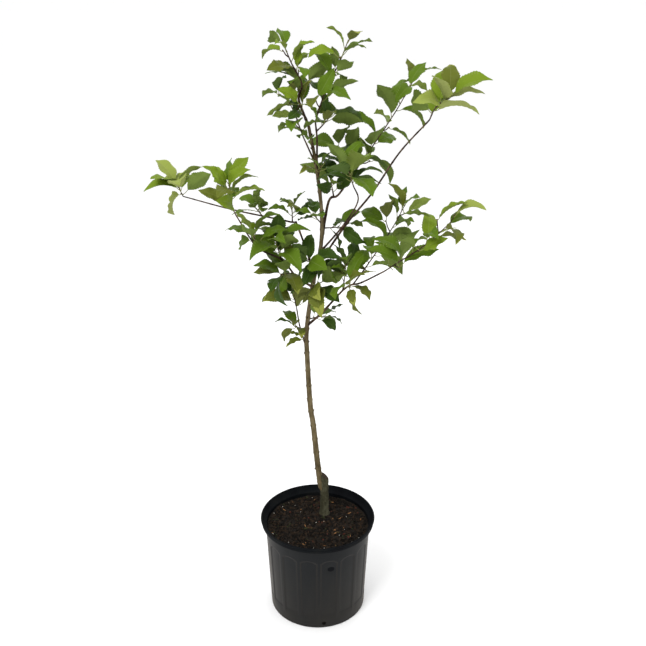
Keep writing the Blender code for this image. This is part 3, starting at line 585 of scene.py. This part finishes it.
def pot_profile(rows):
    """Inside of the floor, up the inner wall, over the rim, down the outer wall and under the base.

    The rows are the heights of the outer wall's edge loops, from the top down."""
    neck = POT_HEIGHT - LIP_DROP - NECK
    out, up = THROAT
    inner = wall_radius(FLOOR) - WALL
    inside = [(0, FLOOR), (inner - CORNER, FLOOR), (inner, FLOOR + CORNER), (WALL_TOP_RADIUS - WALL, neck),
              (RIM_RADIUS + out, POT_HEIGHT + up)]
    rim = [(RIM_RADIUS + out, POT_HEIGHT + up) for out, up in RIM_STEPS]
    wall = [(WALL_TOP_RADIUS, neck)] + [(wall_radius(height), height) for height in rows]
    return inside + rim + wall + [(BASE_RADIUS, FOOT_CHAMFER), (BASE_RADIUS - FOOT_CHAMFER, 0), (0, 0)]


def panel_depth(bearing, height):
    """How far the wall is pressed in: arched panels between upright ribs, fading out at the foot."""
    across = ((bearing - FIRST_RIB_BEARING) % (360 / PANELS) / (360 / PANELS) * 2 - 1) / PANEL_EDGE
    if abs(across) > 1:
        return 0
    crown = PANEL_TOP - ARCH_RISE * (1 - sqrt(1 - across ** 2))
    if height >= crown or height <= PANEL_FOOT:
        return 0
    low, high = PANEL_FADES
    return PANEL_DEPTH * min(1, (height - PANEL_FOOT) / low, (crown - height) / high)


def set_inputs(node, **inputs):
    """Sets inputs of a shader node; an underscore in a name stands for a space."""
    for name, value in inputs.items():
        node.inputs[name.replace("_", " ")].default_value = value
    return node


def plain_material(name, colour, roughness, gloss=0.5):
    material = bpy.data.materials.new(name)
    material.use_nodes = True
    set_inputs(material.node_tree.nodes["Principled BSDF"], Base_Color=(*colour, 1), Roughness=roughness,
               Specular_IOR_Level=gloss)
    return material


def add_node(nodes, kind, **inputs):
    return set_inputs(nodes.new("ShaderNode" + kind), **inputs)


def add_ramp(nodes, *stops):
    """A colour ramp through stops, each a position and a colour."""
    ramp = nodes.new("ShaderNodeValToRGB")
    elements = ramp.color_ramp.elements
    elements[0].position, elements[1].position = stops[0][0], stops[-1][0]
    for position, _ in stops[1:-1]:
        elements.new(position)
    for element, (_, colour) in zip(elements, stops):
        element.color = (*colour, 1)
    return ramp


def join(material, *joints):
    """Joins shader nodes: each joint is a node, its output, another node and its input."""
    for source, output, target, into in joints:
        material.node_tree.links.new(source.outputs[output], target.inputs[into])


def blotchy_material(name, scale, roughness, bump, stretch=(1, 1, 1), gloss=0.12):
    """A material whose colour wanders between three tones and whose surface is finely rough."""
    colours = BLOTCHES[name]
    material = plain_material(name, colours[0], roughness, gloss)
    nodes = material.node_tree.nodes
    shader = nodes["Principled BSDF"]
    place = nodes.new("ShaderNodeTexCoord")
    mapping = add_node(nodes, "Mapping", Scale=stretch)
    wander = add_node(nodes, "TexNoise", Scale=scale, Detail=6, Roughness=0.62)
    ramp = add_ramp(nodes, *zip((0.32, 0.5, 0.7), colours))
    grain = add_node(nodes, "TexNoise", Scale=scale * 6, Detail=4)
    relief = add_node(nodes, "Bump", Strength=bump, Distance=0.001)
    join(material, (place, "Object", mapping, "Vector"), (mapping, "Vector", wander, "Vector"),
         (wander, "Fac", ramp, "Fac"), (ramp, "Color", shader, "Base Color"),
         (mapping, "Vector", grain, "Vector"), (grain, "Fac", relief, "Height"),
         (relief, "Normal", shader, "Normal"))
    return material


class Gather:
    """Collects the vertices and faces of one joined piece."""

    def __init__(self):
        self.points, self.faces, self.kinds = [], [], []

    def add(self, points, faces, kinds=None):
        base = len(self.points)
        self.points += [tuple(point) for point in points]
        self.faces += [tuple(base + n for n in face) for face in faces]
        self.kinds += kinds or [0] * len(faces)

    def build(self, name, materials, smooth_angle=40):
        mesh = bpy.data.meshes.new(name)
        mesh.from_pydata([tuple(c * MM for c in point) for point in self.points], [], self.faces)
        for material in materials:
            mesh.materials.append(material)
        mesh.polygons.foreach_set("material_index", self.kinds)
        mesh.update()
        piece = bpy.data.objects.new(name, mesh)
        bpy.context.scene.collection.objects.link(piece)
        mesh.shade_smooth()
        mesh.set_sharp_from_angle(angle=radians(smooth_angle))
        return piece


def around(radius, bearing, height=0.0):
    """The point at a radius and a bearing in radians about the pot's axis."""
    return radius * cos(bearing), radius * sin(bearing), height


def dress(piece, slot, *nodes):
    """The piece rides on the one body and stands for the nodes, which it hides; slot is not used."""
    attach(piece, "root")
    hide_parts(*nodes)


def fine_curve(limb, step=LIMB_STEP):
    """Points and radii every step along a limb."""
    length = curve_length(limb.points)
    count = max(2, round(length / step))
    walked, marks = 0, [0]
    for a, b in zip(limb.points, limb.points[1:]):
        walked += (b - a).length
        marks.append(walked)
    places = np.linspace(0, length, count + 1)
    columns = [np.interp(places, marks, [point[axis] for point in limb.points]) for axis in range(3)]
    radii = np.interp(places, marks, limb.radii)
    return [Vector(place) for place in zip(*columns)], list(radii), list(places)


def add_tube(gather, points, radii, sides, relief=0.0, kind=0, shape=None):
    """A closed bar along points; shape, if given, moves each vertex of the wall."""
    turn, vertices = None, []
    for number, (point, radius) in enumerate(zip(points, radii)):
        ahead = points[min(number + 1, len(points) - 1)] - points[max(number - 1, 0)]
        along = ahead.normalized()
        if turn is None:
            turn = along.orthogonal().normalized()
        turn = (turn - along * turn.dot(along)).normalized()
        other = along.cross(turn)
        for side in range(sides):
            angle = 2 * pi * side / sides
            way = turn * cos(angle) + other * sin(angle)
            rough = relief * noise.fractal((point + way * radius) * BARK_FINENESS, 1, 2, 4)
            vertex = point + way * radius * (1 + rough)
            vertices.append(shape(vertex) if shape else vertex)
    faces, last = [], len(vertices) - sides
    for low in range(0, last, sides):
        for side in range(sides):
            a, b = low + side, low + (side + 1) % sides
            faces.append((a, b, b + sides, a + sides))
    faces.append(tuple(reversed(range(sides))))
    faces.append(tuple(range(last, last + sides)))
    gather.add(vertices, faces, [kind] * len(faces))


def with_nodes(radii, places, dice):
    """Adds the swellings that old leaf scars leave along a shoot."""
    scars, place = [], dice.uniform(10, NODE_EVERY)
    while place < places[-1]:
        scars.append(place)
        place += NODE_EVERY * dice.uniform(0.7, 1.3)
    swollen = [radius * (1 + sum(NODE_SWELL * exp(-((walked - scar) / 2.6) ** 2) for scar in scars))
               for radius, walked in zip(radii, places)]
    return swollen, scars


def add_bud(gather, place, way, up, size, kind=0):
    """A small pointed bud that lies against its shoot."""
    lean = (way * 0.55 + up).normalized()
    points = [place + way * 0.1 + lean * size * share for share in (-0.35, 0, 0.45, 0.85, 1.1)]
    radii = [size * share for share in (0.22, 0.42, 0.4, 0.2, 0.03)]
    add_tube(gather, points, radii, 6, kind=kind)


def build_trunk_bark(wood):
    dice = random.Random(TRUNK_SEED)
    gather = Gather()
    foot = SOIL_LEVEL + GAP
    slope = tan(radians(CUT_SLOPE))
    edge_x, edge_z = STOCK_PLACE[0] + STOCK_RADIUS / 2, foot + STOCK_HEIGHT - STOCK_RADIUS

    def below_cut(vertex):
        limit = edge_z - (vertex.x - edge_x) * slope
        return Vector((vertex.x, vertex.y, min(vertex.z, limit)))

    heights = np.linspace(0, STOCK_HEIGHT, 76)
    points = [Vector((*STOCK_PLACE, foot + height)) for height in heights]
    radii = [STOCK_RADIUS * (1 - STOCK_TAPER * height / STOCK_HEIGHT)
             + (FLARE_RADIUS - STOCK_RADIUS) * exp(-height / FLARE_HEIGHT * 2.2) for height in heights]
    add_tube(gather, points, radii, 32, BARK_RELIEF, kind=2, shape=below_cut)
    gather.kinds[-1] = 1
    points, radii, places = fine_curve(wood["trunk"])
    radii, scars = with_nodes(radii, places, dice)
    radii = [min(radius, THICKEST_TRUNK) for radius in radii]
    add_tube(gather, points, radii, TRUNK_SIDES, BARK_RELIEF)
    for number, scar in enumerate(scars):
        place, along = place_on(points, scar)
        way = beside(along, GOLDEN_ANGLE * number)
        radius = float(np.interp(scar, places, radii))
        add_bud(gather, place + way * radius * 0.95, way, along, dice.uniform(2.6, 3.8), kind=3)
    bark = blotchy_material("trunk_bark", 60, 0.85, 0.6, (1, 1, 0.35))
    cut = blotchy_material("cut_wood", 160, 0.95, 0.4)
    stock = blotchy_material("rootstock_bark", 55, 0.9, 0.7, (1, 1, 0.5))
    bud = plain_material("trunk_buds", (0.03, 0.02, 0.011), 0.9, 0.1)
    dress(gather.build("trunk_bark", (bark, cut, stock, bud)), "bark", "trunk")


def build_bough_bark(wood):
    dice = random.Random(BOUGH_SEED)
    gather = Gather()
    for name in BOUGHS:
        points, radii, places = fine_curve(wood[name])
        radii, _ = with_nodes(radii, places, dice)
        add_tube(gather, points, radii, BOUGH_SIDES, BARK_RELIEF)
    bark = blotchy_material("bough_bark", 90, 0.75, 0.5, (1, 1, 0.5))
    dress(gather.build("bough_bark", (bark,)), "bark", *BOUGHS)


def build_shoots(wood, crown):
    """The leafy shoots with their spurs, and their buds."""
    gather, buds = Gather(), Gather()
    dice = random.Random(SHOOT_SEED)
    for name in MASSES:
        points, radii, places = fine_curve(wood[name])
        radii, _ = with_nodes(radii, places, dice)
        add_tube(gather, points, radii, STEM_SIDES, BARK_RELIEF)
        spurs, leaves = crown[name]
        for spur in spurs:
            spur_points, spur_radii, _ = fine_curve(spur, 1.5)
            add_tube(gather, spur_points, [radius * 1.15 for radius in spur_radii], STEM_SIDES, BARK_RELIEF)
            tip_way = (spur.points[-1] - spur.points[-2]).normalized()
            add_bud(buds, spur.points[-1], tip_way * 0.2, tip_way, 2.4)
        for leaf in leaves:
            up = leaf.forward * 0.2 + leaf.up
            add_bud(buds, leaf.root + leaf.stalk * 1.1, leaf.stalk, up.normalized(), dice.uniform(2.2, 3.2))
        tip_way = (points[-1] - points[-3]).normalized()
        add_bud(buds, points[-1], tip_way * 0.1, tip_way, 2.6)
    bark = blotchy_material("shoot_bark", 120, 0.6, 0.4, (1, 1, 0.5))
    bud = blotchy_material("bud_scales", 300, 0.7, 0.3)
    dress(gather.build("shoots", (bark,)), "bark", *MASSES)
    dress(buds.build("buds", (bud,)), "bark", *MASSES)


def fine_leaf(leaf, dice, turned):
    """A closed thin blade: toothed, wavy, slightly twisted, folded at the midrib, quilted by its veins.

    Beyond a share of its length it has turned yellow, and sooner at its edges."""
    phases = {side: (dice.uniform(0, 6.28), dice.uniform(0, 6.28)) for side in (-1, 1)}
    waves, wanders = dice.uniform(1.6, 3.2), dice.uniform(0.8, 2.2)
    cupped = dice.uniform(-0.25, 0.12)
    twist = radians(dice.gauss(0, TWIST))
    points, rows = [leaf.start - leaf.forward], []
    for row in range(1, LEAF_ROWS):
        share = row / LEAF_ROWS
        centre, normal = blade_place(leaf, share)
        turn = twist * share
        side = leaf.side * cos(turn) + normal * sin(turn)
        normal = normal * cos(turn) - leaf.side * sin(turn)
        half = half_width(leaf, share) * (1 - TIP_DRAW * max(0, share - TIP_FROM) / (1 - TIP_FROM))
        tooth = TOOTH * (1 if row % 2 else -0.6) * sin(pi * share) ** 0.4
        top, bottom = [], []
        for column in LEAF_COLUMNS:
            wave_phase, wander_phase = phases[1 if column > 0 else -1]
            out = abs(column)
            reach = half * (1 + EDGE_WANDER * sin(2 * pi * wanders * share + wander_phase))
            reach *= 1 + tooth if out == 1 else 1
            middle = out == min(map(abs, LEAF_COLUMNS))
            fold = out * half * sin(leaf.keel)
            vein = VEIN_RELIEF * sin(2 * pi * (share * VEINS - out * 1.3)) * (1 - out ** 2)
            wave = MARGIN_WAVE * out ** 2 * sin(2 * pi * waves * share + wave_phase)
            cup = cupped * half * out ** 2
            rise = fold + vein + wave * sin(pi * share) + cup - (MIDRIB / 2 if middle else 0)
            place = centre + side * (reach * column * cos(leaf.keel)) + normal * rise
            top.append(place)
            if out < 1:
                below = BLADE_THICKNESS + (MIDRIB * 1.6 * (1 - share) if middle else 0)
                bottom.append(place - normal * below)
        rows.append(len(points))
        points += top + bottom[::-1]
    points.append(blade_place(leaf, 1)[0])
    tops = len(LEAF_COLUMNS) - 1
    ring = 2 * tops
    ring_kinds = [2 if n == tops // 2 else 0 if n < tops else 1 for n in range(ring)]
    faces, kinds = [], []
    for row, (low, high) in enumerate(zip(rows, rows[1:])):
        faces += [(low + n, low + (n + 1) % ring, high + (n + 1) % ring, high + n) for n in range(ring)]
        kinds += [3 if kind == 0 and row / LEAF_ROWS > turned - TURNED_EDGE * abs(LEAF_COLUMNS[n]) else kind
                  for n, kind in enumerate(ring_kinds)]
    tip = len(points) - 1
    for n in range(ring):
        m = (n + 1) % ring
        faces += [(rows[0] + m, rows[0] + n, 0), (rows[-1] + n, rows[-1] + m, tip)]
        kinds += [ring_kinds[n]] * 2
    return points, faces, kinds


def choose_green(leaf, dice):
    """Deals a leaf its green, with painted shade and painted light: deep inside the crown, lighter the
    farther it reaches out and up.
    """
    low, high = LIGHT_HEIGHTS
    middle = leaf.start + leaf.forward * leaf.length / 2
    light = hypot(middle.x - STOCK_PLACE[0], middle.y - STOCK_PLACE[1]) / LIGHT_REACH
    light += (middle.z - low) / (high - low)
    if dice.random() < (LOW_OLIVE_SHARE if middle.z < LOW_CROWN else OLIVE_SHARE):
        return "olive"
    tone = light + dice.gauss(0, TONE_SPREAD)
    return next(green for limit, green in TONES if tone < limit)


def build_leaves(crown):
    dice = random.Random(LEAF_SEED)
    blades = {green: Gather() for green in LEAF_GREENS}
    stalks = Gather()
    for _, leaves in crown.values():
        for leaf in leaves:
            green = choose_green(leaf, dice)
            turned = dice.uniform(*TURNED) if green == "olive" else 2
            blades[green].add(*fine_leaf(leaf, dice, turned))
            points = [leaf.root.lerp(leaf.start, share) - UP * PETIOLE_SAG * sin(pi * share)
                      for share in (0, 0.2, 0.4, 0.6, 0.8, 1)]
            points.append(leaf.start + leaf.forward * 3)
            add_tube(stalks, points, (1.3, 0.95, 0.8, 0.75, 0.75, 0.8, 0.5), PETIOLE_SIDES)
    for green, gather in blades.items():
        top, under = LEAF_GREENS[green]
        rib = tuple((a + b) / 2 for a, b in zip(top, under))
        materials = [plain_material(f"leaf_{green}_top", top, 0.5, 0.07),
                     plain_material(f"leaf_{green}_under", under, 0.8, 0.03),
                     plain_material(f"leaf_{green}_rib", rib, 0.6, 0.1)]
        if green == "olive":
            materials.append(plain_material("leaf_turned", (0.215, 0.235, 0.04), 0.6, 0.1))
        dress(gather.build(f"blades_{green}", materials, 50), "leaf", *MASSES)
    stalk = plain_material("petiole", (0.19, 0.205, 0.06), 0.6, 0.12)
    dress(stalks.build("petioles", (stalk,)), "leaf", *MASSES)


def wall_rows():
    """Heights of the pot's outer rows: close together where the arches are."""
    arches = np.arange(PANEL_TOP + ARCH_STEP, PANEL_TOP - ARCH_RISE - 3 * ARCH_STEP, -ARCH_STEP)
    wall = np.arange(arches[-1] - WALL_STEP, PANEL_FOOT, -WALL_STEP)
    return (*arches, *wall, PANEL_FOOT, PANEL_FOOT / 2, FOOT_CHAMFER * 3)


def build_pot_dressed():
    gather = Gather()
    across = (-1, -RIB_EDGE, -PANEL_EDGE, *PANEL_PLACES, PANEL_EDGE, RIB_EDGE)
    bearings = [FIRST_RIB_BEARING + 360 / PANELS * (panel + (place + 1) / 2)
                for panel in range(PANELS) for place in across]
    columns = len(bearings)
    profile = pot_profile(wall_rows())
    points, depths, faces, kinds = [], [], [], []
    for radius, height in profile[1:-1]:
        for bearing in bearings:
            outside = abs(radius - wall_radius(height)) < 0.01
            depth = panel_depth(bearing, height) if outside else 0
            pressed = radius - depth - (dent(bearing, height) if outside else 0)
            points.append(around(pressed, radians(bearing), height))
            depths.append(depth)
    rows = len(profile) - 2
    for row in range(rows - 1):
        for column in range(columns):
            a, b = row * columns + column, row * columns + (column + 1) % columns
            faces.append((a, a + columns, b + columns, b))
            steps = [depths[n] for n in faces[-1]]
            pale_step = max(steps) - min(steps) > PALE_STEP and points[a][2] > PANEL_FOOT + PANEL_FADES[0]
            (radius, height), (below, _) = profile[row + 1:row + 3]
            # the rim and the inside of the pot wear the darker plastic, which is painted shade
            inside = radius < below or height > POT_HEIGHT - LIP_DROP
            kinds.append(1 if pale_step else 2 * inside)
    points += [(0, 0, profile[0][1]), (0, 0, profile[-1][1])]
    for column in range(columns):
        nxt = (column + 1) % columns
        faces.append((len(points) - 2, column, nxt))
        faces.append((len(points) - 1, (rows - 1) * columns + nxt, (rows - 1) * columns + column))
    gather.add(points, faces, kinds + [0] * (2 * columns))
    pale_step = plain_material("pale_step_plastic", (0.013, 0.012, 0.011), 0.6, 0.15)
    dark = blotchy_material("shaded_rim_plastic", 14, 0.6, 0.05, gloss=0.04)
    pot = gather.build("pot_dressed", (pot_material(), pale_step, dark), 35)
    for number in range(DRAIN_HOLES):
        bearing = radians(DRAIN_BEARING + 360 / DRAIN_HOLES * number)
        place = Vector(around(BASE_RADIUS, bearing, DRAIN_HEIGHT))
        turned = Matrix.Rotation(bearing, 4, "Z") @ Matrix.Rotation(pi / 2, 4, "Y")
        bpy.ops.mesh.primitive_cylinder_add(vertices=24, radius=DRAIN_RADIUS * MM, depth=DRILL_LENGTH * MM)
        drill = bpy.context.active_object
        drill.data.transform(Matrix.Translation(place * MM) @ turned)
        cut = pot.modifiers.new("drain", "BOOLEAN")
        cut.operation = "DIFFERENCE"
        cut.object = drill
        bpy.context.view_layer.objects.active = pot
        bpy.ops.object.modifier_apply(modifier=cut.name)
        bpy.data.objects.remove(drill, do_unlink=True)
    dress(pot, "black_plastic", "pot")


def dent(bearing, height):
    """The soft dent in the wall right of the front."""
    across = (bearing - DENT_BEARING) * radians(1) * WALL_TOP_RADIUS / DENT_WIDTH
    return DENT_DEPTH * exp(-across ** 2 - ((height - DENT_HEIGHT) / DENT_RISE) ** 2)


def pot_material():
    """Black plastic, dusty in clouds, most of all low down, and dull where it is seen aslant."""
    material = plain_material("pot_plastic", (0.006, 0.007, 0.008), 0.4, 0.15)
    nodes = material.node_tree.nodes
    shader = nodes["Principled BSDF"]
    set_inputs(shader, Sheen_Weight=0.15, Sheen_Roughness=0.35, Sheen_Tint=(0.6, 0.5, 0.38, 1))
    place = nodes.new("ShaderNodeTexCoord")
    mapping = add_node(nodes, "Mapping", Scale=(1, 1, 0.45))
    cloud = add_node(nodes, "TexNoise", Scale=9, Detail=8, Roughness=0.7)
    split = nodes.new("ShaderNodeSeparateXYZ")
    low = add_node(nodes, "MapRange", From_Min=0.24, From_Max=0.02, To_Min=0.1)
    much = nodes.new("ShaderNodeMath")
    much.operation = "MULTIPLY"
    ramp = add_ramp(nodes, (0.18, (0.004, 0.005, 0.006)), (0.75, (0.018, 0.016, 0.013)))
    dull = add_node(nodes, "MapRange", To_Min=0.34, To_Max=0.7)
    join(material, (place, "Object", mapping, "Vector"), (mapping, "Vector", cloud, "Vector"),
         (place, "Object", split, "Vector"), (split, "Z", low, "Value"), (cloud, "Fac", much, 0),
         (low, "Result", much, 1), (much, "Value", ramp, "Fac"), (ramp, "Color", shader, "Base Color"),
         (cloud, "Fac", dull, "Value"), (dull, "Result", shader, "Roughness"))
    return material


def soil_height(x, y):
    """The lumpy top of the bark mix, flat where the rootstock stands."""
    away = hypot(x - STOCK_PLACE[0], y - STOCK_PLACE[1])
    calm = min(1, max(0, (away - 20) / 25))
    lumps = (rise * noise.fractal(Vector((x, y, layer)) * fineness, 1, 2, 3)
             for rise, fineness, layer in LUMPS)
    return SOIL_LEVEL + calm * sum(lumps)


def build_soil_dressed():
    gather = Gather()
    inner = wall_radius(SOIL_LEVEL) - WALL - SOIL_CLEARANCE
    points = [(0, 0, soil_height(0, 0))]
    for ring in range(1, SOIL_RINGS + 1):
        for column in range(SOIL_COLUMNS):
            x, y, _ = around(inner * ring / SOIL_RINGS, 2 * pi * column / SOIL_COLUMNS)
            points.append((x, y, soil_height(x, y)))
    foot = FLOOR + GAP
    low = wall_radius(foot + SOIL_CORNER + 1) - WALL - SOIL_CLEARANCE
    points += [around(low, 2 * pi * column / SOIL_COLUMNS, foot + SOIL_CORNER)
               for column in range(SOIL_COLUMNS)]
    points.append((0, 0, foot))
    last = 1 + SOIL_RINGS * SOIL_COLUMNS
    faces = []
    for column in range(SOIL_COLUMNS):
        nxt = (column + 1) % SOIL_COLUMNS
        faces += [(0, 1 + column, 1 + nxt), (len(points) - 1, last + nxt, last + column)]
        for row in range(1, last, SOIL_COLUMNS):
            a, b = row + column, row + nxt
            faces.append((a, a + SOIL_COLUMNS, b + SOIL_COLUMNS, b))
    gather.add(points, faces)
    soil = blotchy_material("bark_mix", 110, 0.95, 1.0)
    dress(gather.build("soil_dressed", (soil,), 60), "bark_mix", "soil")
    scatter_chips(inner)


def scatter_chips(inner):
    """Bark chips, slivers and white grains that lie on the mix."""
    dice = random.Random(CHIP_SEED)
    gather = Gather()
    kinds = list(CHIP_KINDS)
    weights = [share for _, share in CHIP_KINDS.values()]
    box = [(a, b, c) for c in (-1, 1) for a, b in ((-1, -1), (1, -1), (1, 1), (-1, 1))]
    sides = [(0, 3, 2, 1), (4, 5, 6, 7), (0, 1, 5, 4), (1, 2, 6, 5), (2, 3, 7, 6), (3, 0, 4, 7)]
    for number in range(CHIPS):
        x, y, _ = around((inner - 5) * sqrt(dice.random()), dice.uniform(0, 2 * pi))
        if hypot(x - STOCK_PLACE[0], y - STOCK_PLACE[1]) < FLARE_RADIUS + 3:
            continue
        kind = dice.choices(kinds, weights)[0]
        if kind == "white":
            long = wide = dice.uniform(0.7, 1.3)
        else:
            long = dice.choice((1, 1, 1, 1.8)) * dice.uniform(1.0, 3.6)
            wide = long * dice.uniform(0.25, 0.7)
        if number < SLIVERS:
            kind = dice.choices(("dark", "brown", "tan"), (8, 12, 1))[0]
            long, wide = dice.uniform(4, 10), dice.uniform(0.6, 1.5)
        thick = min(wide, dice.uniform(0.6, 1.6))
        turn = Matrix.Rotation(dice.uniform(0, 6.28), 3, "Z")
        for lean, axis in ((0.35, "X"), (0.3, "Y")):
            turn = turn @ Matrix.Rotation(dice.gauss(0, lean), 3, axis)
        centre = Vector((x, y, soil_height(x, y) + thick * 0.3))
        points = [centre + turn @ Vector((long * a * dice.uniform(0.6, 1), wide * b * dice.uniform(0.5, 1),
                                          thick * c * dice.uniform(0.6, 1))) for a, b, c in box]
        gather.add(points, sides, [kinds.index(kind)] * len(sides))
    materials = [plain_material(f"chip_{kind}", colour, 0.95, 0.05)
                 for kind, (colour, _) in CHIP_KINDS.items()]
    dress(gather.build("soil_chips", materials, 20), "bark_mix", "soil")


def build_stage():
    """A plain pale floor, soft lights and the photograph's camera."""
    bpy.ops.mesh.primitive_plane_add(size=600, location=(0, 0, -0.0005))
    floor = bpy.context.active_object
    floor.name = "floor"
    floor.data.materials.append(plain_material("pale_floor", (0.955, 0.955, 0.955), 0.9))
    world = bpy.data.worlds.new("studio")
    world.use_nodes = True
    set_inputs(world.node_tree.nodes["Background"], Color=(1, 1, 1, 1), Strength=1.05)
    scene = bpy.context.scene
    scene.world = world
    for name, (place, size, power) in LIGHTS.items():
        light = bpy.data.lights.new(name, "AREA")
        light.size = size
        light.energy = power
        lamp = bpy.data.objects.new(name, light)
        lamp.location = place
        lamp.rotation_euler = (Vector(LIT_PLACE) - Vector(place)).to_track_quat("-Z", "Y").to_euler()
        scene.collection.objects.link(lamp)
    lens = bpy.data.cameras.new("camera")
    lens.lens = CAMERA_LENS
    lens.sensor_width = CAMERA_SENSOR
    camera = bpy.data.objects.new("camera", lens)
    camera.location = CAMERA_PLACE
    camera.rotation_euler = (radians(CAMERA_TURN), 0, 0)
    scene.collection.objects.link(camera)
    scene.camera = camera
    scene.view_settings.view_transform = "Standard"


wood = grow_wood()
crown = grow_crown(wood)
build_stage()
build_pot_dressed()
build_soil_dressed()
build_trunk_bark(wood)
build_bough_bark(wood)
build_shoots(wood, crown)
build_leaves(crown)
